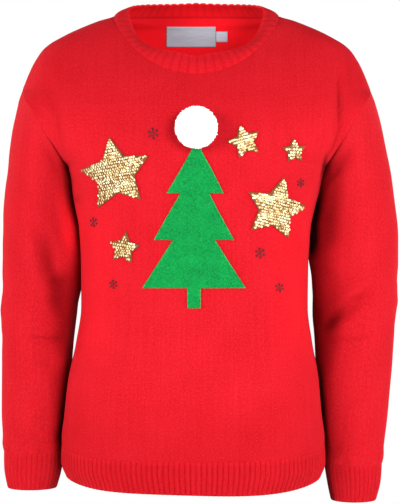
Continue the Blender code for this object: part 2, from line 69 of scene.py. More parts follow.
# height, half width inside (beyond the side seam near the arms), depth of the front, depth of the back
BODY = (
    ("height", "spread", "front", "back"),
    (-600.0, 152.0, 100.0, 91.0),
    (-582.0, 160.5, 104.0, 94.5),
    (-565.0, 166.0, 106.5, 96.5),
    (-534.0, 166.5, 107.0, 97.0),
    (-505.0, 163.0, 108.0, 96.0),
    (-455.0, 158.0, 109.0, 94.0),
    (-413.0, 149.5, 110.0, 93.0),
    (-367.0, 143.5, 111.0, 92.5),
    (-314.0, 144.0, 113.0, 94.0),
    (-262.0, 147.5, 115.0, 97.5),
    (-222.0, 160.0, 115.5, 101.0),
    (-190.0, 175.0, 114.5, 103.5),
    (-165.0, 193.0, 112.0, 104.5),
    (-144.0, 207.0, 109.0, 104.5),
    (-122.0, 217.0, 104.0, 104.0),
    (-97.0, 220.5, 94.0, 102.0),
    (-86.0, 217.0, 89.0, 100.5),
    (-63.0, 207.3, 75.5, 97.5),
    (-51.0, 200.3, 67.5, 95.0),
    (-44.0, 195.3, 62.5, 93.5),
    (-36.0, 186.4, 57.0, 92.0),
    (-28.5, 174.0, 52.0, 91.0),
    (-21.0, 160.0, 47.0, 89.5),
    (-13.0, 142.5, 41.0, 87.5),
    (-5.7, 123.6, 34.0, 86.0),
    (0.0, 105.0, 30.0, 84.0),
    (12.0, 99.0, 30.0, 80.0),
)

# height, half width of the side seam, from the hem to the armpit
SIDE = (
    ("height", "half_width"),
    (-600.0, 152.0),
    (-582.0, 160.5),
    (-565.0, 166.0),
    (-534.0, 166.5),
    (-505.0, 163.0),
    (-455.0, 158.0),
    (-413.0, 149.5),
    (-367.0, 143.5),
    (-314.0, 144.0),
    (-268.0, 146.5),
    (-240.0, 152.5),
    (-222.0, 156.5),
    (-204.0, 159.5),
    (-190.0, 163.0),
)

# height, how far the body's middle stands towards the wearer's left
LEAN = (
    ("height", "across"),
    (-600.0, -3.6),
    (-500.0, -4.2),
    (-400.0, -2.8),
    (-260.0, -2.6),
    (-190.0, 0.0),
    (20.0, 0.0),
)

# One row for each ring of a sleeve: its outermost point, its underarm point and its half depths.
# The first ring is the armhole seam, which is the same on both sides, and the last is where the cuff starts.
SLEEVE_COLUMNS = ("outer", "outer_height", "inner", "inner_height", "front", "back", "centre")
LEFT_SLEEVE = (
    (220.5, -97.0, 163.0, -190.0, 60.0, 64.0, 0.0),
    (230.5, -127.0, 160.6, -206.0, 57.0, 60.0, 7.0),
    (239.3, -162.0, 155.2, -225.0, 54.5, 57.0, 11.0),
    (248.2, -199.0, 148.6, -247.0, 52.5, 55.0, 15.0),
    (253.4, -238.0, 143.0, -270.0, 51.0, 53.0, 18.0),
    (257.1, -281.0, 142.8, -299.0, 50.0, 51.5, 19.0),
    (257.6, -326.0, 147.4, -334.0, 49.0, 50.0, 20.0),
    (255.5, -370.0, 148.3, -373.0, 47.5, 48.5, 20.0),
    (252.0, -413.0, 151.0, -414.0, 45.0, 46.0, 20.0),
    (248.8, -456.0, 153.0, -456.0, 42.0, 43.0, 20.0),
    (243.4, -505.0, 157.8, -505.0, 37.5, 38.0, 19.0),
    (238.0, -550.0, 162.0, -550.0, 34.5, 34.5, 17.0),
    (236.3, -568.0, 163.4, -568.0, 32.5, 32.5, 16.0),
)
RIGHT_SLEEVE = (
    (220.5, -97.0, 163.0, -190.0, 60.0, 64.0, 0.0),
    (229.0, -127.0, 161.0, -206.5, 57.0, 60.0, 7.0),
    (236.8, -161.0, 157.8, -225.0, 54.0, 57.0, 11.0),
    (241.7, -198.0, 152.9, -247.0, 51.5, 54.0, 15.0),
    (245.4, -236.0, 148.2, -269.0, 49.5, 52.0, 18.0),
    (247.3, -279.0, 146.3, -297.0, 48.5, 50.5, 19.0),
    (248.5, -323.0, 146.0, -331.0, 48.0, 49.0, 20.0),
    (249.0, -367.0, 151.8, -370.0, 47.0, 48.0, 20.0),
    (249.0, -413.0, 157.0, -413.0, 45.0, 45.5, 20.0),
    (249.0, -458.0, 160.8, -458.0, 41.5, 42.0, 20.0),
    (248.9, -505.0, 166.2, -505.0, 38.0, 38.0, 19.0),
    (247.3, -535.0, 169.0, -535.0, 35.5, 35.5, 17.5),
    (245.6, -552.0, 170.0, -552.0, 34.0, 34.0, 17.0),
)
LEFT_CUFF = (
    (236.1, -568.3, 163.6, -568.3, 32.3, 32.3, 16.0),
    (234.0, -588.0, 167.4, -588.0, 31.0, 31.0, 15.0),
    (228.8, -609.0, 171.5, -609.0, 28.5, 28.5, 14.0),
)
RIGHT_CUFF = (
    (245.4, -552.3, 170.2, -552.3, 33.8, 33.8, 17.0),
    (244.5, -573.0, 173.0, -573.0, 32.5, 32.5, 16.0),
    (240.9, -595.0, 178.5, -595.0, 29.5, 29.5, 15.0),
)

# angle from the wearer's left (90 is the front), height of the neckband's open edge
BAND_EDGE = (
    ("angle", "height"),
    (-90.0, 26.5),
    (-45.0, 21.5),
    (0.0, 8.0),
    (45.0, -43.0),
    (90.0, -59.0),
)

NECK_SHARE = 5 / 11

# ---- fineness ----
PANEL_COLUMNS = 154
SIDE_STEPS, ARM_STEPS = 132, 66
SLEEVE_COLUMNS_FINE, SLEEVE_STEPS = 144, 178
RIB_STEPS = 16

# ---- ribbing and knit ----
HEM_PITCH, NECK_PITCH, CUFF_COUNT = 6.6, 11.4, 35
RIB_DEPTH = 0.9
WALE, COURSE = 2.65, 2.0

PATCH_LIFT, PATCH_WALL = 0.3, 1.6
STARS = (
    ("name", "across", "height", "radius", "turn_deg"),
    ("star_big", -97.0, -204.0, 45.0, 10.0),
    ("star_mid", 98.0, -246.0, 39.0, -12.0),
    ("star_small_a", 58.0, -166.0, 21.0, 18.0),
    ("star_small_b", -84.0, -294.0, 20.0, -8.0),
    ("star_small_c", 118.0, -176.0, 15.0, 4.0),
)
STAR_WAIST = 0.52  # inner radius of a star over its outer one
TREE_TOP = -166.0
# one row for each tier of the fir tree, from the top
TREE = (
    ("height", "half_width", "next_half_width"),
    (-228.0, 34.0, 17.0),
    (-284.0, 48.0, 25.0),
    (-342.0, 62.0, 9.0),
)
TRUNK_FOOT = -366.0
POMPOM = {"across": 0.0, "height": -150.0, "radius": 25.0, "half_thickness": 15.0, "clear": 0.6}
LABEL = {"left": -40.0, "right": 25.5, "top": -1.0, "foot": -27.3, "wall": 0.7}
TAB = {"left": 25.9, "right": 41.0, "top": -7.6, "foot": -20.8, "wall": 0.7}

# ---- folds, in mm: a soft trough (negative) or ridge (positive) along a bowed line ----
CREASE_COLUMNS = ("x0", "z0", "x1", "z1", "bow", "width", "height")
FRONT_CREASES = (
    # the soft fold in front of each arm, from the shoulder to the armpit
    (177.0, -70.0, 173.0, -170.0, 1.0, 5.5, -3.0),
    (160.0, -74.0, 152.0, -190.0, 4.0, 11.0, 1.6),
    (-180.0, -84.0, -171.0, -172.0, -1.0, 6.5, -2.6),
    (-160.0, -88.0, -150.0, -196.0, -4.0, 12.0, 1.6),
    # pulls that run from the armpit over the armhole seam
    (170.0, -174.0, 197.0, -134.0, 2.0, 3.4, 2.8),
    (177.0, -172.0, 203.0, -136.0, 2.0, 3.0, -2.4),
    (184.0, -146.0, 212.0, -116.0, 1.5, 2.8, 2.2),
    (-178.0, -142.0, -207.0, -112.0, 2.0, 4.5, -1.8),
    (-170.0, -168.0, -200.0, -136.0, -2.0, 4.0, 1.5),
    # ripples of the side edges under the arms
    (-156.0, -206.0, -128.0, -214.0, 2.0, 6.0, -1.8),
    (-150.0, -232.0, -124.0, -238.0, -2.0, 7.0, 1.7),
    (-147.0, -262.0, -118.0, -258.0, 3.0, 8.0, -1.5),
    (152.0, -240.0, 128.0, -246.0, 2.0, 8.0, -1.4),
    (146.0, -290.0, 118.0, -300.0, 2.0, 10.0, 1.2),
    # soft waves of the waist and of the lower body
    (-140.0, -372.0, -88.0, -398.0, 6.0, 16.0, -1.3),
    (142.0, -384.0, 92.0, -414.0, -6.0, 16.0, -1.3),
    (-60.0, -430.0, -96.0, -540.0, 6.0, 26.0, 0.9),
    (70.0, -440.0, 98.0, -540.0, -6.0, 26.0, 0.9),
    (-30.0, -100.0, -90.0, -72.0, 8.0, 22.0, 0.8),
    (34.0, -104.0, 96.0, -70.0, -8.0, 22.0, 0.8),
)
BACK_CREASES = (
    (172.0, -84.0, 162.0, -190.0, 10.0, 9.0, -3.8),
    (-173.0, -90.0, -163.0, -188.0, -10.0, 9.0, -3.5),
    (152.0, -92.0, 144.0, -204.0, 10.0, 14.0, 2.0),
    (-153.0, -96.0, -146.0, -200.0, -10.0, 14.0, 2.0),
    (-120.0, -318.0, 96.0, -342.0, 14.0, 12.0, -3.0),
    (-96.0, -346.0, 122.0, -362.0, 10.0, 11.0, 2.2),
    (-124.0, -374.0, 60.0, -392.0, 12.0, 12.0, -2.4),
    (-20.0, -404.0, 120.0, -410.0, 8.0, 13.0, -1.9),
    (-126.0, -286.0, -18.0, -300.0, -9.0, 12.0, 1.6),
    (148.0, -206.0, 66.0, -262.0, 10.0, 12.0, -1.9),
    (-147.0, -212.0, -72.0, -276.0, -10.0, 12.0, -1.7),
    (-96.0, -60.0, -30.0, -82.0, 8.0, 18.0, -1.3),
    (100.0, -58.0, 26.0, -86.0, -8.0, 18.0, -1.3),
    (-84.0, -450.0, -104.0, -548.0, 6.0, 20.0, 1.4),
    (12.0, -446.0, 20.0, -548.0, 6.0, 22.0, -1.2),
    (92.0, -452.0, 108.0, -548.0, -6.0, 20.0, 1.3),
)
# On a sleeve x is the way round it from its front line, towards the body, in mm.
LEFT_ARM_CREASES = (
    (-18.0, -330.0, 44.0, -394.0, 6.0, 8.0, -4.6),
    (-22.0, -314.0, 42.0, -372.0, 6.0, 9.0, 2.6),
    (-8.0, -356.0, 40.0, -412.0, 5.0, 9.0, 2.4),
    (4.0, -168.0, 60.0, -206.0, 6.0, 9.0, -3.6),
    (-30.0, -392.0, 46.0, -404.0, 5.0, 7.0, -1.8),
    (-36.0, -414.0, 30.0, -426.0, 5.0, 9.0, 1.4),
    (30.0, -214.0, 46.0, -330.0, 8.0, 17.0, -4.0),
    (-66.0, -330.0, -150.0, -372.0, 8.0, 10.0, -3.0),
    (-60.0, -360.0, -150.0, -396.0, 8.0, 9.0, 2.0),
    (-70.0, -392.0, -150.0, -414.0, 6.0, 9.0, -2.4),
    (120.0, -340.0, 60.0, -378.0, 8.0, 9.0, -2.6),
    (126.0, -372.0, 62.0, -402.0, 8.0, 9.0, 2.0),
    (-110.0, -150.0, -160.0, -214.0, 8.0, 13.0, -2.6),
    (-12.0, -468.0, 34.0, -488.0, 5.0, 12.0, -1.4),
    (-40.0, -520.0, 20.0, -532.0, 4.0, 10.0, 1.2),
    (10.0, -536.0, 60.0, -548.0, 4.0, 9.0, -1.6),
    (-90.0, -500.0, -140.0, -534.0, 5.0, 10.0, -1.8),
    (-20.0, -238.0, 30.0, -262.0, 6.0, 12.0, -1.0),
)
RIGHT_ARM_CREASES = (
    (46.0, -238.0, 60.0, -318.0, 3.0, 9.0, 3.2),
    (8.0, -272.0, 26.0, -346.0, 3.0, 10.0, -2.4),
    (-2.0, -252.0, 34.0, -352.0, 7.0, 13.0, -4.6),
    (16.0, -342.0, 46.0, -372.0, 2.0, 12.0, -2.6),
    (-14.0, -404.0, 44.0, -409.0, 3.0, 4.5, -2.8),
    (-20.0, -396.0, 42.0, -400.0, 3.0, 4.5, 1.9),
    (-6.0, -420.0, 46.0, -446.0, 5.0, 10.0, -2.2),
    (20.0, -206.0, 46.0, -300.0, 8.0, 14.0, -3.2),
    (-26.0, -216.0, 4.0, -262.0, 5.0, 13.0, 1.3),
    (4.0, -150.0, 50.0, -200.0, 6.0, 9.0, -2.4),
    (-66.0, -344.0, -148.0, -380.0, 8.0, 10.0, -3.0),
    (-62.0, -372.0, -148.0, -404.0, 8.0, 9.0, 2.0),
    (-66.0, -408.0, -140.0, -424.0, 6.0, 9.0, -2.2),
    (118.0, -350.0, 62.0, -384.0, 8.0, 9.0, -2.6),
    (-112.0, -156.0, -158.0, -220.0, 8.0, 13.0, -2.6),
    (-30.0, -456.0, 24.0, -470.0, 6.0, 12.0, -1.3),
    (-20.0, -516.0, 40.0, -530.0, 4.0, 9.0, -1.5),
    (-84.0, -488.0, -136.0, -520.0, 5.0, 10.0, -1.8),
)

# ---- curves through a table ----
def column(table, name):
    """A named column of a table whose first row holds the names."""
    k = table[0].index(name)
    return np.array([row[k] for row in table[1:]], float)


def through(xs, ys, at):
    """A smooth curve through points with rising xs, which never overshoots them."""
    xs, ys, at = np.asarray(xs, float), np.asarray(ys, float), np.asarray(at, float)
    gap = np.diff(xs)
    slope = np.diff(ys) / gap
    inner = np.where(
        slope[1:] * slope[:-1] > 0,
        2 * slope[1:] * slope[:-1] / np.where(slope[1:] + slope[:-1] == 0, 1, slope[1:] + slope[:-1]),
        0.0,
    )
    tangent = np.concatenate([[slope[0]], inner, [slope[-1]]])
    i = np.clip(np.searchsorted(xs, at) - 1, 0, len(gap) - 1)
    t = np.clip((at - xs[i]) / gap[i], 0, 1)
    return (
        (2 * t**3 - 3 * t**2 + 1) * ys[i]
        + (t**3 - 2 * t**2 + t) * gap[i] * tangent[i]
        + (-2 * t**3 + 3 * t**2) * ys[i + 1]
        + (t**3 - t**2) * gap[i] * tangent[i + 1]
    )


def body_at(name, height):
    return through(column(BODY, "height"), column(BODY, name), height)


def side_at(height):
    return through(column(SIDE, "height"), column(SIDE, "half_width"), height)


def lean_at(height):
    return through(column(LEAN, "height"), column(LEAN, "across"), height)


# ---- the armhole seam, an oval in a slanting plane ----
TIP = np.array([LEFT_SLEEVE[0][0], TIP_HEIGHT])
ARMPIT = np.array([LEFT_SLEEVE[0][2], ARMPIT_HEIGHT])
ARM_MIDDLE, ARM_HALF = (TIP + ARMPIT) / 2, (TIP - ARMPIT) / 2


def armhole_depth(half_depth, angle):
    return half_depth * np.abs(np.sin(angle)) ** ARMHOLE_SQUARENESS


def edge_at(height, side):
    """(half width of the panel, half width that its section heads for) at a height, on the front or the back."""
    height = np.asarray(height, float)
    c = np.clip((height - ARM_MIDDLE[1]) / ARM_HALF[1], -1, 1)
    seam_x = ARM_MIDDLE[0] + ARM_HALF[0] * c
    seam_depth = armhole_depth(LEFT_SLEEVE[0][4 if side == "front" else 5], np.arccos(c))
    share = np.clip(seam_depth / body_at(side, height), 0, 0.98)
    heads_for = seam_x / (1 - share**2) ** (1 / SECTION_POWER)
    outline = body_at("spread", height)
    low, high = height <= ARMPIT_HEIGHT, height >= TIP_HEIGHT
    edge = np.where(low, side_at(height), np.where(high, outline, seam_x))
    return edge, np.where(low | high, edge, heads_for)


def depth_at(x, height, side):
    """How far the front or the back stands from the plane of the side seams."""
    edge, heads_for = edge_at(height, side)
    spread = np.maximum(body_at("spread", height), edge)
    near = np.clip(np.abs(x) / edge, 0, 1) ** CREASE_REACH
    width = spread + (heads_for - spread) * near
    inside = np.clip(1 - (np.abs(x) / width) ** SECTION_POWER, 0, 1)
    return body_at(side, height) * np.sqrt(inside)


# ---- outlines of a body panel in the front view ----
def hem_height(x, half_width, level):
    return level + HEM_SIDE_LIFT * np.abs(x / half_width) ** 6


def across_share(u):
    """Spreads a panel's columns so that they are even along the cloth and close together at its sides."""
    return np.sign(u) * np.sin(np.abs(u) * math.pi / 2) ** (2 / SECTION_POWER)


def bottom_edge(u):
    half = side_at(HEM_TOP)
    x = half * across_share(u)
    return x, hem_height(x, half, HEM_TOP)


def neckline(u, side):
    """Front-view points of the seam under the neckband, for u from -1 to 1 across it."""
    angle = (1 - np.abs(u)) * math.pi / 2
    drop, curve = (-NECK_FRONT_DROP, NECK_FRONT_CURVE) if side == "front" else (NECK_BACK_RISE, NECK_BACK_CURVE)
    return np.sign(u) * NECK_HALF_WIDTH * np.cos(angle), drop * np.sin(angle) ** curve


def shoulder(s):
    """Front-view points of the shoulder seam, s from 0 at the neck to 1 at the tip, even along the seam."""
    heights = np.linspace(0.0, TIP_HEIGHT, 60)
    xs = body_at("spread", heights)
    run = np.concatenate([[0], np.cumsum(np.hypot(np.diff(xs), np.diff(heights)))])
    return np.interp(s * run[-1], run, xs), np.interp(s * run[-1], run, heights)


def top_edge(u, side):
    neck_x, neck_z = neckline(np.clip(u / NECK_SHARE, -1, 1), side)
    out_x, out_z = shoulder(np.clip((np.abs(u) - NECK_SHARE) / (1 - NECK_SHARE), 0, 1))
    at_neck = np.abs(u) <= NECK_SHARE + 1e-9
    return np.where(at_neck, neck_x, np.sign(u) * out_x), np.where(at_neck, neck_z, out_z)


def side_edge(side_rows, arm_rows):
    """Front-view points of the side seam and then the armhole, from the hem rib to the tip, with each one's angle."""
    foot = hem_height(1.0, 1.0, HEM_TOP)
    seam = np.linspace(foot, ARMPIT_HEIGHT, side_rows + 1)
    angle = np.linspace(math.pi, 0, arm_rows + 1)[1:]
    x = np.concatenate([side_at(seam), ARM_MIDDLE[0] + ARM_HALF[0] * np.cos(angle)])
    z = np.concatenate([seam, ARM_MIDDLE[1] + ARM_HALF[1] * np.cos(angle)])
    return x, z, np.concatenate([np.full(side_rows + 1, math.pi), angle])


def unit(v):
    return v / np.maximum(np.linalg.norm(v, axis=-1, keepdims=True), 1e-9)


def painted_shading(obj, outer, inner=0.0):
    """How much painted shade (above 0) or painted light (below 0) the cloth gets at each point of a shell's outer and
    inner grid.
    """
    inner = np.broadcast_to(inner, outer.shape)
    values = np.concatenate([outer.ravel(), inner.ravel()]).astype(np.float32)
    layer = obj.data.attributes.new("painted_shading", "FLOAT", "POINT")
    layer.data.foreach_set("value", values)
    return obj


def grid_normals(points, closed=False):
    if closed:
        along = np.roll(points, -1, axis=1) - np.roll(points, 1, axis=1)
    else:
        along = np.gradient(points, axis=1)
    return unit(np.cross(along, np.gradient(points, axis=0)))


def creases(table, x, z):
    """How far each point is raised by the folds of a table."""
    total = np.zeros(np.shape(x))
    for x0, z0, x1, z1, bow, width, height in table:
        a, b = np.array([x0, z0]), np.array([x1, z1])
        run = b - a
        side = np.array([run[1], -run[0]]) / np.hypot(*run)
        near = np.full(np.shape(x), 1e9)
        where = np.zeros(np.shape(x))
        for t in np.linspace(0, 1, 25):
            p = a + run * t + side * bow * 4 * t * (1 - t)
            d = (x - p[0]) ** 2 + (z - p[1]) ** 2
            closer = d < near
            near, where = np.where(closer, d, near), np.where(closer, t, where)
        taper = np.sin(math.pi * np.clip(0.08 + 0.84 * where, 0, 1)) ** 1.2
        total += height * taper * np.exp(-near / width**2)
    return total


def waves(x, z, seed, size, height):
    """Low uneven swells of the cloth, from a few sine waves of random direction."""
    rng = np.random.default_rng(seed)
    total = np.zeros(np.shape(x))
    for _ in range(7):
        a, p = rng.uniform(0, 2 * math.pi, 2)
        k = 2 * math.pi / (size * rng.uniform(0.7, 1.7))
        total += np.sin(k * (x * math.cos(a) + z * math.sin(a)) + p)
    return total / 7 * height


# ---- meshes ----
def to_object(name, verts, faces, uvs=None, smooth=True):
    """A mesh object from points in mm, faces as an (n, k) array, and one uv in metres for each face corner."""
    mesh = bpy.data.meshes.new(name)
    k = faces.shape[1]
    mesh.vertices.add(len(verts))
    mesh.vertices.foreach_set("co", (np.asarray(verts, np.float64) * MM).astype(np.float32).ravel())
    mesh.loops.add(faces.size)
    mesh.loops.foreach_set("vertex_index", faces.astype(np.int32).ravel())
    mesh.polygons.add(len(faces))
    mesh.polygons.foreach_set("loop_start", np.arange(0, faces.size, k, dtype=np.int32))
    if uvs is not None:
        layer = mesh.uv_layers.new(name="cloth")
        layer.data.foreach_set("uv", (np.asarray(uvs) * MM).astype(np.float32).ravel())
    mesh.update(calc_edges=True)
    mesh.validate()
    if smooth:
        mesh.shade_smooth()
    obj = bpy.data.objects.new(name, mesh)
    bpy.context.scene.collection.objects.link(obj)
    return obj


def shell(name, outer, inner, u, v, closed=False, ends=(True, True)):
    """A closed wall between two grids of points. u and v are cloth coordinates in mm; on a closed tube u has one more column."""
    rows, cols = outer.shape[:2]
    steps = cols if closed else cols - 1
    verts = np.concatenate([outer.reshape(-1, 3), inner.reshape(-1, 3)])
    r, c = np.meshgrid(np.arange(rows - 1), np.arange(steps), indexing="ij")
    r, c = r.ravel(), c.ravel()
    d = (c + 1) % cols
    base = rows * cols

    def corner(rr, cc, cu):
        return np.stack([u[rr, cu], v[rr, np.minimum(cu, v.shape[1] - 1)]], axis=-1)

    quads = [np.stack([r * cols + c, r * cols + d, (r + 1) * cols + d, (r + 1) * cols + c], axis=1)]
    uv = [np.stack([corner(r, c, c), corner(r, d, c + 1), corner(r + 1, d, c + 1), corner(r + 1, c, c)], axis=1)]
    quads.append(quads[0][:, ::-1] + base)
    uv.append(uv[0][:, ::-1])
    cs = np.arange(steps)
    ds = (cs + 1) % cols
    for row, flip in ((0, True), (rows - 1, False)):
        q = np.stack([row * cols + cs, row * cols + ds, base + row * cols + ds, base + row * cols + cs], axis=1)
        rr = np.full(steps, row)
        w = np.stack([corner(rr, cs, cs), corner(rr, ds, cs + 1), corner(rr, ds, cs + 1), corner(rr, cs, cs)], axis=1)
        quads.append(q[:, ::-1] if flip else q)
        uv.append(w[:, ::-1] if flip else w)
    if not closed:
        rs = np.arange(rows - 1)
        for col, flip in ((0, False), (cols - 1, True)):
            q = np.stack([rs * cols + col, (rs + 1) * cols + col, base + (rs + 1) * cols + col, base + rs * cols + col], axis=1)
            cc = np.full(rows - 1, col)
            w = np.stack([corner(rs, cc, cc), corner(rs + 1, cc, cc), corner(rs + 1, cc, cc), corner(rs, cc, cc)], axis=1)
            quads.append(q[:, ::-1] if flip else q)
            uv.append(w[:, ::-1] if flip else w)
    faces, uvs = np.concatenate(quads), np.concatenate(uv)
    p = verts[faces]
    volume = np.einsum("ij,ij->i", p[:, 0], np.cross(p[:, 1], p[:, 2]) + np.cross(p[:, 2], p[:, 3])).sum()
    if volume < 0:
        faces, uvs = faces[:, ::-1], uvs[:, ::-1]
    obj = to_object(name, verts, faces, uvs)
    # the cut edges of the cloth keep their corners, so that the faces next to them are shaded as flat as the rest
    edges = np.empty(len(obj.data.edges) * 2, dtype=np.int32)
    obj.data.edges.foreach_get("vertices", edges)
    edges = edges.reshape(-1, 2)
    layer, row, col = edges // base, edges % base // cols, edges % base % cols
    same = layer[:, 0] == layer[:, 1]
    flat = (row[:, 0] == row[:, 1]) & np.isin(row[:, 0], (0, rows - 1))
    upright = (col[:, 0] == col[:, 1]) & np.isin(col[:, 0], (0, cols - 1)) & (not closed)
    sharp = obj.data.attributes.new("sharp_edge", "BOOLEAN", "EDGE")
    sharp.data.foreach_set("value", same & (flat | upright))
    return obj


# ---- body panels ----
def spread_columns():
    """Even columns with a few more close to the side seams, for their rounded edges."""
    even = np.linspace(-1, 1, PANEL_COLUMNS + 1)
    close = np.array([0.0025, 0.006])
    return np.unique(np.concatenate([even, 1 - close, close - 1]).round(9))


def top_line(u, side):
    """Front-view points of a panel's top edge, even across at the neckline and even along the shoulder seam."""
    share = np.arcsin(np.clip(np.abs(u) / NECK_SHARE, 0, 1)) * 2 / math.pi
    neck_x, neck_z = neckline(np.sign(u) * share, side)
    out_x, out_z = shoulder(np.clip((np.abs(u) - NECK_SHARE) / (1 - NECK_SHARE), 0, 1))
    at_neck = np.abs(u) <= NECK_SHARE
    return np.where(at_neck, neck_x, np.sign(u) * out_x), np.where(at_neck, neck_z, out_z)


def panel(side, columns, side_rows, arm_rows):
    bx, bz = bottom_edge(columns)
    tx, tz = top_line(columns, side)
    ex, ez, angle = side_edge(side_rows, arm_rows)
    up = ((ez - ez[0]) / (ez[-1] - ez[0]))[:, None]
    away, way = np.abs(columns)[None, :], np.sign(columns)[None, :]
    past_neck = np.clip((away - NECK_SHARE) / (1 - NECK_SHARE), 0, 1)
    high = np.clip((up - 0.45) / 0.3, 0, 1)
    high = high * high * (3 - 2 * high)
    low_share = np.abs(across_share(columns))[None, :]
    w = way * (low_share * (1 - high) + np.sin(past_neck * math.pi / 2) ** 1.3 * high)
    # the columns spread out under the neck's corners, so that no cell is pinched there
    spread = 20.0 * np.clip((up - 0.6) / 0.22, 0, 1) ** 2 * np.clip((1 - up) / 0.18, 0, 1)
    bulge = np.where(away < NECK_SHARE, np.sin(away / NECK_SHARE * math.pi / 2), np.cos(past_neck * math.pi / 2))
    straight_x = (1 - up) * bx[-1] + up * tx[-1]
    straight_z = (1 - up) * bz[-1] + up * tz[-1]
    level_top = (-45.0 if side == "front" else -12.0) * (1 - away**2) + tz[-1] * away**2
    x = (1 - up) * bx + up * tx + w * (ex[:, None] - straight_x) + way * spread * bulge
    z = (1 - up) * bz + up * level_top + up**5 * (tz - level_top) + low_share**2 * (ez[:, None] - straight_z)
    depth = depth_at(x, z, side)
    depth[:, [0, -1]] = np.where(
        (ez > ARMPIT_HEIGHT)[:, None],
        armhole_depth(LEFT_SLEEVE[0][4 if side == "front" else 5], angle)[:, None],
        0.0,
    )
    depth[-1, np.abs(columns) > NECK_SHARE - 1e-6] = 0.0
    return x, z, depth


def cloth_u(side, x, z):
    """Length of cloth from the centre line to each point, along a level line."""
    heights = np.linspace(-600.0, 12.0, 205)
    share = np.linspace(0, 1, 161)
    edge = edge_at(heights, side)[0]
    gx = edge[:, None] * share[None, :]
    gd = depth_at(gx, np.repeat(heights[:, None], len(share), axis=1), side)
    run = np.concatenate([np.zeros((len(heights), 1)), np.cumsum(np.hypot(np.diff(gx, axis=1), np.diff(gd, axis=1)), axis=1)], axis=1)
    t = np.clip(np.abs(x) / edge_at(z, side)[0], 0, 1) * (len(share) - 1)
    h = np.clip((z - heights[0]) / (heights[1] - heights[0]), 0, len(heights) - 1.001)
    i, j = np.floor(h).astype(int), np.minimum(np.floor(t).astype(int), len(share) - 2)
    a, b = h - i, t - j
    value = (
        run[i, j] * (1 - a) * (1 - b) + run[i + 1, j] * a * (1 - b) + run[i, j + 1] * (1 - a) * b + run[i + 1, j + 1] * a * b
    )
    return np.sign(x) * value


def cloth_v(side, x, z):
    """Length of cloth up from the hem rib to each point, along the wales."""
    heights = np.linspace(-600.0, 12.0, 205)
    share = np.linspace(0, 1, 81)
    edge = edge_at(heights, side)[0]
    gd = depth_at(edge[:, None] * share[None, :] * 0.96, np.repeat(heights[:, None], len(share), axis=1), side)
    step = np.hypot(heights[1] - heights[0], np.diff(gd, axis=0))
    run = np.concatenate([np.zeros((1, len(share))), np.cumsum(step, axis=0)], axis=0) + heights[0]
    t = np.clip(np.abs(x) / edge_at(z, side)[0], 0, 1) * (len(share) - 1)
    h = np.clip((z - heights[0]) / (heights[1] - heights[0]), 0, len(heights) - 1.001)
    i, j = np.floor(h).astype(int), np.minimum(np.floor(t).astype(int), len(share) - 2)
    a, b = h - i, t - j
    return run[i, j] * (1 - a) * (1 - b) + run[i + 1, j] * a * (1 - b) + run[i, j + 1] * (1 - a) * b + run[i + 1, j + 1] * a * b


def swell(side, x, z):
    """The folds and swells of a body panel at front-view points, fading to nothing at the hem rib and the neck."""
    table = FRONT_CREASES if side == "front" else BACK_CREASES
    d = creases(table, x, z) * (1.0 if side == "front" else 1.9) + waves(x, z, 3 if side == "front" else 5, 150.0, 1.3) + waves(x, z, 8, 60.0, 0.45)
    fade = np.clip((z - HEM_TOP) / 26.0, 0, 1)
    if side == "front":
        neck = np.hypot(x / 1.25, z + 0.0) / 88.0
    else:
        neck = np.hypot(x / 1.3, (z - 10.0) * 1.0) / 70.0
    return d * fade * np.clip((neck - 0.9) / 0.35, 0, 1)


def seam_depth(z):
    """The seams lie deeper towards the armpit and below, and all but vanish over the shoulder."""
    return np.clip((-z - 118.0) / 52.0, 0.12, 1.0)


# Painted shade where the neighbouring cloth shades the front panel: soft lines, as for a fold, whose last column is how
# dark.
FRONT_SHADE = (
    (160.5, -176.0, 156.0, -206.0, 0.0, 2.6, 0.75),
    (176.0, -80.0, 175.5, -154.0, 0.0, 1.7, 0.34),
    (178.5, -96.0, 178.0, -160.0, 0.0, 4.0, 0.12),
    (175.5, -146.0, 161.0, -182.0, -2.0, 2.0, 0.3),
    (-176.0, -112.0, -164.0, -180.0, -1.0, 6.0, 0.12),
    (-150.0, -228.0, -142.0, -238.0, 0.0, 4.0, 0.25),
    (151.0, -236.0, 144.0, -300.0, 0.0, 4.0, 0.2),
)


def panel_shade(side, x, z, at_side):
    # painted shade on the front's folds, lower body and shoulders; painted light on its flanks and along the armhole
    # seam over the shoulder
    shade = creases(FRONT_SHADE, x, z) if side == "front" else np.zeros_like(x)
    lower = 0.115 * np.clip((-z - 470.0) / 50.0, 0, 1) if side == "front" else 0.0
    if side == "front":
        flank = np.clip((np.abs(x) / edge_at(z, side)[0] - 0.55) / 0.25, 0, 1) * np.clip((-z - 225.0) / 40.0, 0, 1) * np.clip((z + 450.0) / 50.0, 0, 1)
        lower = lower - 0.13 * flank + 0.08 * np.clip((z + 175.0) / 60.0, 0, 1)
    return shade * 1.15 + lower - 0.05 * np.exp(-((at_side / 2.0) ** 2)) * (1 - seam_depth(z))


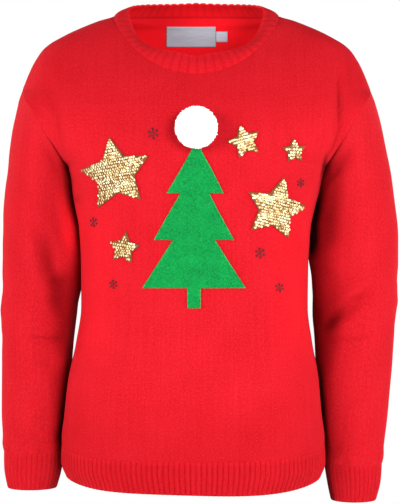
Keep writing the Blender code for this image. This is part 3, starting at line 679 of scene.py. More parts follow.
def make_panel(side, name):
    columns = spread_columns()
    x, z, depth = panel(side, columns, SIDE_STEPS, ARM_STEPS)
    sign = -1.0 if side == "front" else 1.0
    points = np.stack([x + lean_at(z), sign * depth, z], axis=-1)
    normals = grid_normals(points) * (1.0 if side == "front" else -1.0)
    # away from the side edges the section's own slope gives truer normals than the mesh does
    step = 0.6
    dx, dz = (depth_at(x + step, z, side) - depth_at(x - step, z, side)) / (2 * step), (depth_at(x, z + step, side) - depth_at(x, z - step, side)) / (2 * step)
    true = unit(np.stack([-dx, np.full_like(dx, sign), -dz], axis=-1) * np.array([1.0, 1.0, 1.0]))
    near = np.clip((np.abs(x) / edge_at(z, side)[0] - 0.82) / 0.1, 0, 1)
    near = np.maximum(near, np.clip((z[-1] - 6.0 - z) / -6.0, 0, 1) * (np.abs(columns) > NECK_SHARE))[..., None]
    normals = unit(true * (1 - near) + normals * near)
    across = np.linalg.norm(np.diff(points, axis=1), axis=-1)
    run = np.concatenate([np.zeros((len(x), 1)), np.cumsum(across, axis=1)], axis=1)
    at_side = np.minimum(run, run[:, -1:] - run)
    rise = np.linalg.norm(np.diff(points, axis=0), axis=-1)
    climb = np.concatenate([np.zeros((1, x.shape[1])), np.cumsum(rise, axis=0)], axis=0)
    at_top = climb[-1:] - climb
    edge = np.minimum(at_side, at_top)
    offset = swell(side, x, z) * np.clip(at_side / 14.0, 0, 1) ** 0.8 * np.clip(at_top / 14.0, 0, 1)
    corner = 1 - np.exp(-(((z - z[SIDE_STEPS, 0]) / 9.0) ** 2))
    outer = points + normals * (offset - 0.95 * seam_depth(z) * corner * np.exp(-((edge / 1.7) ** 2)))[..., None]
    inner = points + normals * (offset - KNIT_WALL)[..., None]
    u, v = cloth_u(side, x, z), cloth_v(side, x, z)
    # painted light on the panel's inside, a little less just under its top edge
    return painted_shading(shell(name, outer, inner, u, v), panel_shade(side, x, z, at_side), -0.87 + 0.3 * np.exp(-((at_top / 9.0) ** 2)))


def on_panel(side, x, z, lift):
    """Points on a body panel at front-view places, lifted out of it by lift mm."""
    x, z = np.asarray(x, float), np.asarray(z, float)

    def at(xx, zz):
        depth = depth_at(xx, zz, side)
        return np.stack([xx + lean_at(zz), depth if side == "back" else -depth, zz], axis=-1)

    step = 0.8
    dx = at(x + step, z) - at(x - step, z)
    dz = at(x, z + step) - at(x, z - step)
    normal = unit(np.cross(dx, dz)) * (1.0 if side == "front" else -1.0)
    offset = swell(side, x, z) + lift
    return at(x, z) + normal * np.asarray(offset)[..., None], normal


# ---- ribbing ----
def rib(around, pitch, depth=RIB_DEPTH):
    """Height of the ribbing over its grooves: broad rounded ribs and narrow grooves."""
    s = around / pitch - np.floor(around / pitch)
    groove = np.exp(-(((s - 0.5) / 0.17) ** 2))
    return -depth * groove


def round_edge(away, size):
    """How far the outer face draws in where the cloth turns over at an edge."""
    t = np.clip(1 - away / size, 0, 1)
    return -size * (1 - np.sqrt(np.clip(1 - t**2, 0, 1)))


def make_hem(side, name):
    pieces = 480
    columns = np.linspace(-1, 1, pieces + 1)
    share = np.sign(columns) * np.sin(np.abs(columns) * math.pi / 2) ** (2 / SECTION_POWER)
    rows = []
    levels = np.concatenate([[HEM_TOP + 1.2], np.linspace(HEM_TOP - 1.5, HEM_EDGE + 2.5, RIB_STEPS), HEM_EDGE + np.array([1.2, 0.3, 0.0])])
    for level in levels:
        height = hem_height(share, 1.0, level)
        x = side_at(height) * share
        depth = depth_at(x, height, side)
        depth[[0, -1]] = 0.0
        rows.append(np.stack([x + lean_at(height), -depth if side == "front" else depth, height], axis=-1))
    points = np.array(rows)
    normals = grid_normals(points) * (-1.0 if side == "front" else 1.0)
    normals = unit(normals * np.array([1.0, 1.0, 0.15]))
    top = points[1]
    run = np.concatenate([[0], np.cumsum(np.linalg.norm(np.diff(top, axis=0), axis=-1))])
    middle = run[-1] / 2
    around = (run - middle)[None, :] + np.zeros((len(levels), 1))
    down = (HEM_TOP - levels)[:, None] + np.zeros_like(around)
    total = HEM_TOP - HEM_EDGE
    grow = np.clip(down / 3.5, 0, 1)
    to_edge = total - down
    profile = rib(around, HEM_PITCH) * grow * (0.5 + 0.5 * np.clip(to_edge / 5.0, 0, 1))
    line = -0.15 * np.exp(-(((to_edge - 3.6) / 1.2) ** 2))
    bulge = 0.8 * np.sin(math.pi * np.clip(down / total, 0, 1)) + 0.35
    wobble = waves(around, down, 12, 46.0, 0.55) * grow
    outer_off = profile + line + bulge + wobble + round_edge(to_edge, 1.5)
    at_side = np.minimum(run, run[-1] - run)[None, :]
    outer_off = outer_off - 0.9 * np.exp(-((at_side / 1.6) ** 2))
    shape = points.copy()
    shape[..., 2] -= np.clip(1 - to_edge / 5.0, 0, 1) * (0.7 + 0.12 * rib(around, HEM_PITCH, 1.0))
    if side == "front":
        shape[..., 2] -= 2.9 * np.exp(-(((points[..., 0] - 70.0) / 85.0) ** 2)) * np.clip(at_side / 25.0, 0, 1) * np.clip(down / total, 0, 1)
    outer = shape + normals * outer_off[..., None]
    inner = shape + normals * (-RIB_WALL + 0.6 - 0.6 * rib(around + HEM_PITCH / 2, HEM_PITCH, 1.0) * grow - round_edge(to_edge, 1.2))[..., None]
    # slight painted shade on the rib's face, painted light along its top edge and on its inside
    return painted_shading(shell(name, outer, inner, around, -down), 0.05 - 0.13 * np.exp(-((down / 2.2) ** 2)), -1.0)


def sleeve_rows(table, sign, around):
    points = []
    for outer, outer_z, inner, inner_z, front, back, centre in table:
        middle, half = np.array([outer + inner, outer_z + inner_z]) / 2, np.array([outer - inner, outer_z - inner_z]) / 2
        c, s = np.cos(around), np.sin(around)
        depth = np.where(s >= 0, front, back)
        oblique = abs(half[1]) / np.hypot(*half)
        power = 1 - (1 - ARMHOLE_SQUARENESS) * min(1.0, oblique / 0.83)
        points.append(
            np.stack([sign * (middle[0] + half[0] * c), centre - depth * np.sign(s) * np.abs(s) ** power, middle[1] + half[1] * c], axis=-1)
        )
    return np.array(points)


def resample(table, rows):
    t = np.linspace(0, 1, len(table))
    at = np.linspace(0, 1, rows + 1)
    return [tuple(r) for r in np.stack([through(t, np.array(table)[:, k], at) for k in range(7)], axis=1)]


def tube_normals(points):
    n = grid_normals(points, closed=True)
    middle = points.mean(axis=1, keepdims=True)
    return n * np.sign((n * (points - middle)).sum(axis=-1).mean())


# Painted shade on the sleeves' sides towards the body, where the body shades them; a band below 0 paints light instead.
# Rows: height, how dark the broad band is, where it starts (1 is the inner edge, 0 the middle of the front), and how
# dark the narrow strip at the edge is.
LEFT_ARM_SHADE = (
    ("z", "band", "start", "strip"),
    (-140.0, 0.0, 0.5, 0.0), (-180.0, 0.06, 0.3, 0.1), (-215.0, 0.26, 0.15, 0.2), (-240.0, 0.45, 0.2, 0.6),
    (-258.0, 0.55, 0.2, 0.75), (-283.0, 0.50, 0.25, 0.85), (-300.0, 0.42, 0.4, 0.5), (-312.0, 0.36, 0.4, 0.1),
    (-334.0, 0.25, 0.2, 0.0), (-360.0, 0.33, 0.1, 0.0), (-385.0, 0.50, 0.2, 0.0), (-410.0, 0.50, 0.25, 0.0),
    (-436.0, 0.42, 0.35, 0.1), (-461.0, 0.40, 0.5, 0.6), (-486.0, 0.30, 0.6, 0.85), (-512.0, 0.25, 0.65, 0.85),
    (-537.0, 0.25, 0.7, 0.9), (-565.0, 0.10, 0.7, 0.6), (-610.0, 0.10, 0.7, 0.6),
)
RIGHT_ARM_SHADE = (
    ("z", "band", "start", "strip"),
    (-140.0, 0.0, 0.5, 0.0), (-190.0, 0.0, 0.5, 0.5), (-215.0, 0.0, 0.4, 0.6), (-240.0, -0.2, 0.4, 0.5),
    (-258.0, -0.35, 0.4, 0.4), (-283.0, -0.40, 0.4, 0.5), (-309.0, -0.1, 0.4, 0.3), (-334.0, 0.42, 0.1, 0.0),
    (-360.0, 0.50, 0.1, 0.0), (-385.0, 0.46, 0.3, 0.0), (-410.0, 0.46, 0.3, 0.0), (-436.0, 0.30, 0.5, 0.3),
    (-461.0, 0.42, 0.35, 0.4), (-486.0, 0.42, 0.4, 0.5), (-512.0, 0.50, 0.5, 0.5), (-537.0, 0.50, 0.45, 0.6),
    (-565.0, 0.25, 0.5, 0.2), (-610.0, 0.20, 0.5, 0.2),
)
# Painted shade along the sleeves' creases: columns as for the creases, the last being how dark.
LEFT_ARM_CREASE_SHADE = (
    (14.0, -370.0, 48.0, -398.0, 2.0, 7.0, 0.28),
    (-10.0, -350.0, 16.0, -362.0, 0.0, 4.5, 0.16),
    (-20.0, -402.0, 36.0, -410.0, 2.0, 3.0, 0.12),
)
RIGHT_ARM_CREASE_SHADE = (
    (6.0, -270.0, 26.0, -350.0, 3.0, 11.0, 0.36),
    (-12.0, -402.0, 40.0, -407.0, 1.0, 2.6, 0.16),
)


def sleeve_shade(sign, turn, arc, z):
    table, crease_shade = (LEFT_ARM_SHADE, LEFT_ARM_CREASE_SHADE) if sign > 0 else (RIGHT_ARM_SHADE, RIGHT_ARM_CREASE_SHADE)
    at = -column(table, "z")
    band, start, strip = (np.interp(-z, at, column(table, k)) for k in ("band", "start", "strip"))
    s = -np.cos(turn)[None, :]

    def soft(t):
        t = np.clip(t, 0, 1)
        return t * t * (3 - 2 * t)

    # painted shade by the body, a little on the outer side, less at the back, and along the creases
    total = band * soft((s - start) / 0.45) + strip * soft((s - 0.74) / 0.2) + (0.08 if sign < 0 else 0.03) * soft((-s - 0.1) / 0.5)
    return total * np.where(np.sin(turn) >= 0, 1.0, 0.6)[None, :] + creases(crease_shade, arc, z)


def make_sleeve(name, table, folds, sign, seed):
    around = np.linspace(math.pi, 3 * math.pi, SLEEVE_COLUMNS_FINE + 1)
    points = sleeve_rows(resample(table, SLEEVE_STEPS), sign, around[:-1])
    points[0] += unit(points[0] - points[1]) * 0.3
    normals = tube_normals(points)
    wrapped = np.concatenate([points, points[:, :1]], axis=1)
    girth = np.concatenate([np.zeros((len(points), 1)), np.cumsum(np.linalg.norm(np.diff(wrapped, axis=1), axis=-1), axis=1)], axis=1)
    rise = np.linalg.norm(np.diff(wrapped, axis=0), axis=-1)
    climb = np.concatenate([np.zeros((1, wrapped.shape[1])), np.cumsum(rise, axis=0)], axis=0)
    # the way round from the front line, positive towards the body, and again from the other way for the back
    turn = (around[:-1] - 2 * math.pi) % (2 * math.pi)
    turn = np.where(turn > math.pi, turn - 2 * math.pi, turn)  # 0 is the outside, 90 the front, -90 the back
    arc = (turn - math.pi / 2) * 50.0
    arc = np.where(arc < -157.0, arc + 314.0, arc)
    x = arc[None, :] + np.zeros((len(points), 1))
    z = points[..., 2]
    fade = np.clip(climb[:, :-1] / 12.0, 0, 1) * np.clip((climb[-1:, :-1] - climb[:, :-1]) / 14.0, 0, 1)
    calm = 1 - 0.85 * np.exp(-(((np.abs(turn) - math.pi) / 0.42) ** 2))[None, :]
    offset = (creases(folds, x, z) * 1.25 + waves(x, z, seed, 120.0, 1.8) + waves(x, z, seed + 1, 46.0, 0.5)) * fade * calm
    # a little fullness where the sleeve is gathered into the cuff
    below = climb[-1:, :-1] - climb[:, :-1]
    offset += 1.6 * np.exp(-(((below - 9.0) / 9.0) ** 2)) + 0.5 * np.exp(-((below / 14.0) ** 2)) * np.sin(x / 4.7)
    gap = np.exp(-(((z + 208.0) / 13.0) ** 2)) * np.exp(-(((np.abs(turn) - math.pi) / 0.5) ** 2))[None, :]
    offset = offset + 3.0 * gap * np.clip(climb[:, :-1] / 6.0, 0, 1)
    corner = 1 - np.exp(-(((np.abs(turn) - math.pi) / 0.55) ** 2))[None, :]
    groove = -0.95 * seam_depth(z) * corner * np.exp(-((climb[:, :-1] / 1.7) ** 2)) - 0.2 * np.exp(-((below / 1.5) ** 2))
    under = np.minimum(girth[:, :-1], girth[:, -1:] - girth[:, :-1])
    groove -= 0.7 * np.exp(-((under / 2.0) ** 2))
    outer = points + normals * (offset + groove)[..., None]
    inner = points + normals * (offset - KNIT_WALL)[..., None]
    v = -climb
    u = girth - girth[:, -1:] / 2
    # painted shade from sleeve_shade; painted light along the armhole seam over the shoulder and all over the inside
    return painted_shading(shell(name, outer, inner, u, v, closed=True), sleeve_shade(sign, turn, x, z) - 0.05 * np.exp(-((climb[:, :-1] / 2.0) ** 2)) * (1 - seam_depth(z)), -1.0)


def cuff_shade(sign, points, climb):
    """The cuff's side towards the body is in its shade, and its seam with the sleeve is not."""
    x = points[..., 0]
    middle, half = (x.max(axis=1) + x.min(axis=1)) / 2, (x.max(axis=1) - x.min(axis=1)) / 2
    s = -sign * (x - middle[:, None]) / half[:, None]
    strength, start = (0.75, 0.74) if sign > 0 else (0.45, 0.55)
    t = np.clip((s - start) / (0.98 - start), 0, 1)
    return strength * t * t * (3 - 2 * t) - 0.1 * np.exp(-((climb / 2.2) ** 2))


def make_cuff(name, table, sign, above):
    """A ribbed cuff. above is the sleeve's table, whose last ring the cuff's first one meets."""
    first = (above[-1],) + tuple(table[1:])
    count = CUFF_COUNT
    columns = count * 12
    around = np.linspace(math.pi, 3 * math.pi, columns + 1)
    points = sleeve_rows(resample(first, RIB_STEPS + 6), sign, around[:-1])
    extra = points[-1:] + (points[-1:] - points[-2:-1]) * 0.12
    points = np.concatenate([points[:1] + np.array([0, 0, 1.0]), points[1:], extra])
    normals = tube_normals(points)
    wrapped = np.concatenate([points, points[:, :1]], axis=1)
    girth = np.concatenate([[0.0], np.cumsum(np.linalg.norm(np.diff(wrapped[3], axis=0), axis=-1))])
    pitch = girth[-1] / count
    rise = np.linalg.norm(np.diff(points, axis=0), axis=-1)
    climb = np.concatenate([np.zeros((1, points.shape[1])), np.cumsum(rise, axis=0)], axis=0)
    total = climb[-1:]
    to_edge = total - climb
    s = girth[None, :-1] + np.zeros((len(points), 1))
    grow = np.clip(climb / 3.5, 0, 1)
    profile = rib(s, pitch, RIB_DEPTH * 0.7) * grow
    line = -0.15 * np.exp(-(((to_edge - 3.4) / 1.2) ** 2))
    bulge = 0.7 * np.sin(math.pi * climb / total) + 0.3
    outer_off = profile + line + bulge + round_edge(to_edge, 1.5)
    shape = points.copy()
    shape[..., 2] -= np.clip(1 - to_edge / 5.0, 0, 1) * (0.6 + 0.12 * rib(s, pitch, 1.0)) + (4.8 if sign > 0 else 3.3) * (climb / total) ** 1.2
    outer = shape + normals * outer_off[..., None]
    inner = shape + normals * (-RIB_WALL + 0.6 - round_edge(to_edge, 1.2))[..., None]
    u = girth[None, :] + np.zeros((len(points), 1))
    ring = painted_shading(shell(name, outer, inner, u, -climb, closed=True), cuff_shade(sign, points, climb))
    return ring, knit("red_" + name, 1.5, 1.9, pitch, 0.98, 0.15)


def neck_ring(count):
    """The seam under the neckband and the outward normals there, at even steps round the neck from the wearer's left shoulder over the front."""
    rings, normals = [], []
    for side in ("front", "back"):
        u = np.linspace(-1, 1, 801)
        x, z = neckline(u, side)
        depth = depth_at(x, z, side)
        depth[[0, -1]] = 0.0
        ring = np.stack([x, -depth if side == "front" else depth, z], axis=-1)
        inside = np.clip(u, -0.985, 0.985)
        xi, zi = neckline(inside, side)
        _, n = on_panel(side, xi, zi - 1.5, 0.0)
        if side == "front":
            ring, n = ring[::-1], n[::-1]
        rings.append(ring[:-1])
        normals.append(n[:-1])
    ring, n = np.concatenate(rings), np.concatenate(normals)
    closed_ring = np.concatenate([ring, ring[:1]])
    run = np.concatenate([[0], np.cumsum(np.linalg.norm(np.diff(closed_ring, axis=0), axis=-1))])
    at = np.linspace(0, run[-1], count + 1)[:-1]
    n = np.concatenate([n, n[:1]])
    points = np.stack([np.interp(at, run, closed_ring[:, k]) for k in range(3)], axis=-1)
    smooth = np.stack([np.interp(at, run, n[:, k]) for k in range(3)], axis=-1)
    for _ in range(count // 24):
        smooth = (np.roll(smooth, 1, axis=0) + smooth * 2 + np.roll(smooth, -1, axis=0)) / 4
    return points, unit(smooth), at, run[-1]


def make_neckband(name):
    per = 12
    _, _, _, length = neck_ring(200)
    count = int(round(length / NECK_PITCH))
    seam, seam_n, at, length = neck_ring(count * per)
    pitch = length / count
    angle = np.arctan2(-seam[:, 1] / 84.0, seam[:, 0] / NECK_HALF_WIDTH)
    turned = np.degrees(angle)
    folded = np.where(np.abs(turned) > 90, np.sign(turned) * 180 - turned, turned)
    edge = np.stack(
        [
            BAND_HALF_WIDTH * np.cos(angle),
            (BAND_BACK - BAND_FRONT) / 2 - (BAND_BACK + BAND_FRONT) / 2 * np.sin(angle),
            through(column(BAND_EDGE, "angle"), column(BAND_EDGE, "height"), folded),
        ],
        axis=-1,
    )
    for _ in range(per * 2):
        edge = (np.roll(edge, 1, axis=0) + edge * 2 + np.roll(edge, -1, axis=0)) / 4
    across = unit(edge - seam)
    around = np.roll(edge, -1, axis=0) - np.roll(edge, 1, axis=0)
    normal = unit(np.cross(around, across))
    normal *= np.sign((normal * (edge - np.array([0.0, 0.0, -60.0]))).sum(1))[:, None]
    width = np.linalg.norm(edge - seam, axis=-1)
    ts = np.concatenate([[-0.03], np.linspace(0.03, 0.93, RIB_STEPS), [0.965, 0.99, 1.0]])
    rows, normals = [], []
    for t in ts:
        q = np.clip(t, 0, 1)
        rows.append(seam * (1 - t) + edge * t + normal * (BAND_BULGE * math.sin(math.pi * q)))
        normals.append(unit(seam_n * (1 - q) ** 2 + normal * (1 - (1 - q) ** 2)))
    points, normals = np.array(rows), np.array(normals)
    s = at[None, :] + np.zeros((len(ts), 1))
    down = ts[:, None] * width[None, :]
    to_edge = (1 - ts)[:, None] * width[None, :]
    grow = np.clip(down / 4.0, 0, 1)
    at_back = np.clip(0.5 - np.sin(angle) * 0.9, 0, 1)[None, :]
    profile = rib(s, pitch, RIB_DEPTH) * grow * (0.42 + 0.58 * at_back)
    groove = -0.9 * np.exp(-((np.maximum(down, 0) / 1.8) ** 2))
    bulge = 0.9 * np.sin(math.pi * np.clip(ts, 0, 1))[:, None] + 0.3
    outer_off = profile + groove + bulge + round_edge(to_edge, 1.5)
    away = np.clip(1 - to_edge / 6.0, 0, 1) * (1.0 + 1.3 * rib(s, pitch, 1.0))
    points = points + across[None] * away[..., None]
    outer = points + normals * outer_off[..., None]
    inner = points + normals * (-RIB_WALL + 0.3 - rib(s + pitch / 2, pitch, 0.7) * grow * at_back - round_edge(to_edge, 1.2))[..., None]
    u = np.concatenate([s, s[:, :1] + length], axis=1)
    v = np.concatenate([-down, -down[:, :1]], axis=1)
    # painted light on the band's face, more at its front edge, and on its inside, less by the seam and in the grooves
    # between the ribs
    band = painted_shading(shell(name, outer, inner, u, v, closed=True), -0.07 - 0.45 * (1 - at_back) * np.exp(-((to_edge / 2.6) ** 2)), 0.4 * np.exp(-((down / 3.0) ** 2)) + 0.15 * np.exp(-(((s / pitch - np.round(s / pitch)) / 0.2) ** 2)) - 0.92)
    return band, knit("red_" + name, 1.9, 1.9, pitch, 0.98, 0.17)


# ---- what is sewn on ----
def star_outline(across, height, radius, turn):
    points = []
    for k in range(10):
        r = radius if k % 2 == 0 else radius * STAR_WAIST
        a = math.radians(90 + turn + 36 * k)
        points.append((across + r * math.cos(a), height + r * math.sin(a)))
    return points


def tree_outline():
    right = [(0.0, TREE_TOP)]
    for height, half, then in zip(column(TREE, "height"), column(TREE, "half_width"), column(TREE, "next_half_width")):
        right += [(half, height), (then, height)]
    right[-1] = (8.0, right[-1][1])
    right.append((8.0, TRUNK_FOOT))
    return right + [(-x, z) for x, z in right[:0:-1]]


def box_outline(sizes):
    return [(sizes["left"], sizes["foot"]), (sizes["right"], sizes["foot"]), (sizes["right"], sizes["top"]), (sizes["left"], sizes["top"])]


def inside(outline, x, z):
    p = np.array(outline)
    q = np.roll(p, -1, axis=0)
    hit = np.zeros(np.shape(x), bool)
    for (ax, az), (bx, bz) in zip(p, q):
        crosses = (az > z) != (bz > z)
        with np.errstate(divide="ignore", invalid="ignore"):
            at = ax + (z - az) / (bz - az) * (bx - ax)
        hit ^= crosses & (x < at)
    return hit


def edge_distance(outline, x, z):
    p = np.array(outline)
    best = np.full(np.shape(x), 1e9)
    for a, b in zip(p, np.roll(p, -1, axis=0)):
        run = b - a
        t = np.clip(((x - a[0]) * run[0] + (z - a[1]) * run[1]) / (run @ run), 0, 1)
        best = np.minimum(best, np.hypot(x - a[0] - run[0] * t, z - a[1] - run[1] * t))
    return best


def applique(name, side, outline, step, low, high, rounding=0.0, sag=None):
    """A thin piece on a body panel, cut to an outline: its under face low mm over the panel and its upper face high mm over it."""
    border = []
    p = np.array(outline)
    for a, b in zip(p, np.roll(p, -1, axis=0)):
        n = max(1, int(np.hypot(*(b - a)) / step))
        border += [tuple(a + (b - a) * k / n) for k in range(n)]
    lo, hi = p.min(axis=0), p.max(axis=0)
    gx, gz = np.meshgrid(np.arange(lo[0], hi[0], step), np.arange(lo[1], hi[1], step))
    gx, gz = gx.ravel(), gz.ravel()
    keep = inside(outline, gx, gz) & (edge_distance(outline, gx, gz) > step * 0.55)
    places = [Vector(b) for b in border] + [Vector((a, b)) for a, b in zip(gx[keep], gz[keep])]
    loop = list(range(len(border)))
    flat, _, faces, _, _, _ = delaunay_2d_cdt(places, [], [loop], 1, 1e-5)
    xy = np.array([(v.x, v.y) for v in flat])
    tris = np.array([f for f in faces if len(f) == 3])
    edge = edge_distance(outline, xy[:, 0], xy[:, 1])
    lift = np.full(len(xy), high) + (round_edge(edge, rounding) if rounding else 0.0)
    if sag is not None:
        lift = lift + sag(xy[:, 0], xy[:, 1])
    top, _ = on_panel(side, xy[:, 0], xy[:, 1], lift)
    foot, _ = on_panel(side, xy[:, 0], xy[:, 1], low if sag is None else low + sag(xy[:, 0], xy[:, 1]))
    n = len(xy)
    pairs = np.sort(np.concatenate([tris[:, [0, 1]], tris[:, [1, 2]], tris[:, [2, 0]]]), axis=1)
    ends = np.concatenate([tris[:, [0, 1]], tris[:, [1, 2]], tris[:, [2, 0]]])
    _, inverse, count = np.unique(pairs, axis=0, return_inverse=True, return_counts=True)
    rim = ends[count[inverse.reshape(-1)] == 1]
    walls = np.concatenate([np.stack([rim[:, 1], rim[:, 0], rim[:, 0] + n], axis=1), np.stack([rim[:, 1], rim[:, 0] + n, rim[:, 1] + n], axis=1)])
    faces = np.concatenate([tris, tris[:, ::-1] + n, walls])
    verts = np.concatenate([top, foot])
    t = verts[faces]
    if np.einsum("ij,ij->i", t[:, 0], np.cross(t[:, 1], t[:, 2])).sum() < 0:
        faces = faces[:, ::-1]
    place = np.concatenate([xy, xy])
    return to_object(name, verts, faces, place[faces])


def repeated(name, centres, rights, ups, outs, verts, faces, smooth=True):
    """One mesh of many copies of a small shape, each in its own right, up and out directions."""
    n, k = len(centres), len(verts)
    places = centres[:, None] + verts[None, :, 0:1] * rights[:, None] + verts[None, :, 1:2] * ups[:, None] + verts[None, :, 2:3] * outs[:, None]
    index = faces[None] + (np.arange(n) * k)[:, None, None]
    return to_object(name, places.reshape(-1, 3), index.reshape(-1, faces.shape[1]), smooth=smooth)


def disc(radius, sides, cup, thickness):
    """A cupped sequin: triangles of its upper face, under face and rim."""
    a = np.linspace(0, 2 * math.pi, sides + 1)[:-1]
    ring = np.stack([radius * np.cos(a), radius * np.sin(a), np.full(sides, cup)], axis=-1)
    verts = np.concatenate([[[0, 0, 0]], ring, [[0, 0, -thickness]], ring - np.array([0, 0, thickness])])
    i = np.arange(sides)
    j = (i + 1) % sides
    top = np.stack([np.zeros(sides, int), 1 + i, 1 + j], axis=1)
    base = sides + 1
    foot = np.stack([np.full(sides, base), base + 1 + j, base + 1 + i], axis=1)
    rim = np.concatenate([np.stack([1 + j, 1 + i, base + 1 + i], axis=1), np.stack([1 + j, base + 1 + i, base + 1 + j], axis=1)])
    return verts, np.concatenate([top, foot, rim])


def make_sequins(name, outline, turn):
    """Rows of overlapping sequins over a star, each tilted against the next."""
    p = np.array(outline)
    middle = p.mean(axis=0)
    a = math.radians(turn)
    along, down = np.array([math.cos(a), math.sin(a)]), np.array([math.sin(a), -math.cos(a)])
    reach = np.abs(p - middle).max() + 6
    rows = []
    for k, d in enumerate(np.arange(-reach, reach, 3.15)):
        for s in np.arange(-reach, reach, 2.9):
            rows.append(middle + along * (s + 1.45 * (k % 2)) + down * (d + 0.5 * math.sin(s / 9.0 + k)))
    place = np.array(rows)
    keep = (inside(outline, place[:, 0], place[:, 1])) & (edge_distance(outline, place[:, 0], place[:, 1]) > 0.9)
    place = place[keep] + RNG.normal(0, 0.22, (keep.sum(), 2))
    points, out = on_panel("front", place[:, 0], place[:, 1], PATCH_LIFT + PATCH_WALL + 0.9)
    right = unit(np.cross(np.array([0, 0, 1.0]), out)) * -1.0
    right = unit(right - out * (right * out).sum(-1, keepdims=True))
    up = np.cross(out, right)
    along3 = unit(right * along[0] + up * along[1])
    tilt = np.radians(RNG.normal(13, 6, len(place)))[:, None]
    roll = np.radians(RNG.normal(0, 13, len(place)))[:, None]
    side3 = np.cross(out, along3)
    n = unit(out * np.cos(tilt) + along3 * np.sin(tilt))
    n = unit(n * np.cos(roll) + side3 * np.sin(roll))
    r = unit(along3 - n * (along3 * n).sum(-1, keepdims=True))
    u = np.cross(n, r)
    verts, faces = disc(1.62, 12, 0.3, 0.12)
    return repeated(name, points, r, u, n, verts, faces, smooth=False)



# ---- small things, each made once and repeated ----
def arch(radius, thick, segments, sides):
    """A terry loop: a bent tube that stands on its two feet."""
    a = np.linspace(-0.25, math.pi + 0.25, segments + 1)
    b = np.linspace(0, 2 * math.pi, sides + 1)[:-1] + math.pi / 4
    verts = []
    for k in a:
        c = np.array([math.cos(k), 0.0, math.sin(k) * 1.15])
        for j in b:
            verts.append(c * radius + thick * (math.cos(j) * np.array([math.cos(k), 0, math.sin(k)]) + math.sin(j) * np.array([0, 1.0, 0])))
    faces = []
    for r in range(segments):
        for j in range(sides):
            n = (j + 1) % sides
            faces.append((r * sides + j, r * sides + n, (r + 1) * sides + n, (r + 1) * sides + j))
    return np.array(verts), np.array(faces)


def make_loops(name, outline):
    pitch = 1.72
    p = np.array(outline)
    lo, hi = p.min(axis=0) - 1, p.max(axis=0) + 1
    gx, gz = np.meshgrid(np.arange(lo[0], hi[0], pitch), np.arange(lo[1], hi[1], pitch * 0.9))
    gx = gx + (np.arange(len(gx)) % 2)[:, None] * pitch / 2
    gx, gz = gx.ravel() + RNG.normal(0, 0.3, gx.size), gz.ravel() + RNG.normal(0, 0.3, gz.size)
    keep = inside(outline, gx, gz) & (edge_distance(outline, gx, gz) > 0.25)
    gx, gz = gx[keep], gz[keep]
    points, out = on_panel("front", gx, gz, PATCH_LIFT + PATCH_WALL - 0.25)
    edge = edge_distance(outline, gx, gz)
    turn = RNG.uniform(0, math.pi, len(gx))[:, None]
    right = unit(np.cross(out, np.array([0, 0, 1.0])))
    up = np.cross(out, right)
    away = np.clip(1 - edge / 3.0, 0, 1)[:, None]
    centre = np.array([0.0, (TREE_TOP + TRUNK_FOOT) / 2])
    lean = np.stack([np.gradient(edge)[..., None][:, 0] * 0, np.zeros(len(gx))], axis=1)
    n = unit(out + right * RNG.normal(0, 0.22, (len(gx), 1)) + up * RNG.normal(0, 0.22, (len(gx), 1)) - np.array([0, 0, 1.0]) * 0.12)
    r = right * np.cos(turn) + up * np.sin(turn)
    r = unit(r - n * (r * n).sum(-1, keepdims=True))
    u = np.cross(n, r)
    size = RNG.uniform(0.85, 1.2, len(gx))[:, None] * (1 - 0.25 * away)
    verts, faces = arch(0.92, 0.43, 5, 4)
    places = points[:, None] + (verts[None, :, 0:1] * r[:, None] + verts[None, :, 1:2] * u[:, None] + verts[None, :, 2:3] * n[:, None]) * size[:, None]
    index = faces[None] + (np.arange(len(points)) * len(verts))[:, None, None]
    return to_object(name, places.reshape(-1, 3), index.reshape(-1, 4))


def pompom_centre():
    away = float(depth_at(POMPOM["across"], POMPOM["height"], "front")) + PATCH_LIFT + PATCH_WALL + POMPOM["clear"] + POMPOM["half_thickness"]
    return np.array([POMPOM["across"], -away, POMPOM["height"]])


def make_pompom(name, count):
    """Cut yarn ends that stand out of a small core, as an ellipsoid with an uneven surface."""
    k = np.arange(count) + 0.5
    polar, round_ = np.arccos(1 - 2 * k / count), math.pi * (1 + 5**0.5) * k
    ball = np.stack([np.cos(round_) * np.sin(polar), np.sin(round_) * np.sin(polar), np.cos(polar)], axis=1)
    ball = unit(ball + RNG.normal(0, 0.022, ball.shape))
    half = np.array([POMPOM["radius"], POMPOM["half_thickness"], POMPOM["radius"]])
    tip = ball * half * (1 + RNG.normal(0.0, 0.022, (count, 1)))
    foot = ball * half * 0.55
    way = unit(tip - foot)
    a = unit(np.cross(way, np.array([0.3, 0.9, 0.25])))
    b = np.cross(way, a)
    sides, thick = 5, (0.45, 0.66, 0.74, 0.62)
    rows = []
    bend = RNG.normal(0, 0.7, (count, 2))
    for t, w in zip((0.0, 0.5, 0.85, 1.0), thick):
        c = foot * (1 - t) + tip * t + (a * bend[:, :1] + b * bend[:, 1:]) * math.sin(math.pi * t)
        ring = [c + w * (a * math.cos(q) + b * math.sin(q)) for q in np.linspace(0, 2 * math.pi, sides + 1)[:-1]]
        rows.append(np.stack(ring, axis=1))
    end = tip + way * 0.25
    verts = np.concatenate([np.concatenate(rows, axis=1), end[:, None]], axis=1)
    faces = []
    for r in range(3):
        for j in range(sides):
            n = (j + 1) % sides
            faces += [(r * sides + j, r * sides + n, (r + 1) * sides + n), (r * sides + j, (r + 1) * sides + n, (r + 1) * sides + j)]
    for j in range(sides):
        faces.append((3 * sides + j, 3 * sides + (j + 1) % sides, 4 * sides))
    faces = np.array(faces)
    per = verts.shape[1]
    index = faces[None] + (np.arange(count) * per)[:, None, None]
    return to_object(name, verts.reshape(-1, 3) + pompom_centre(), index.reshape(-1, 3))


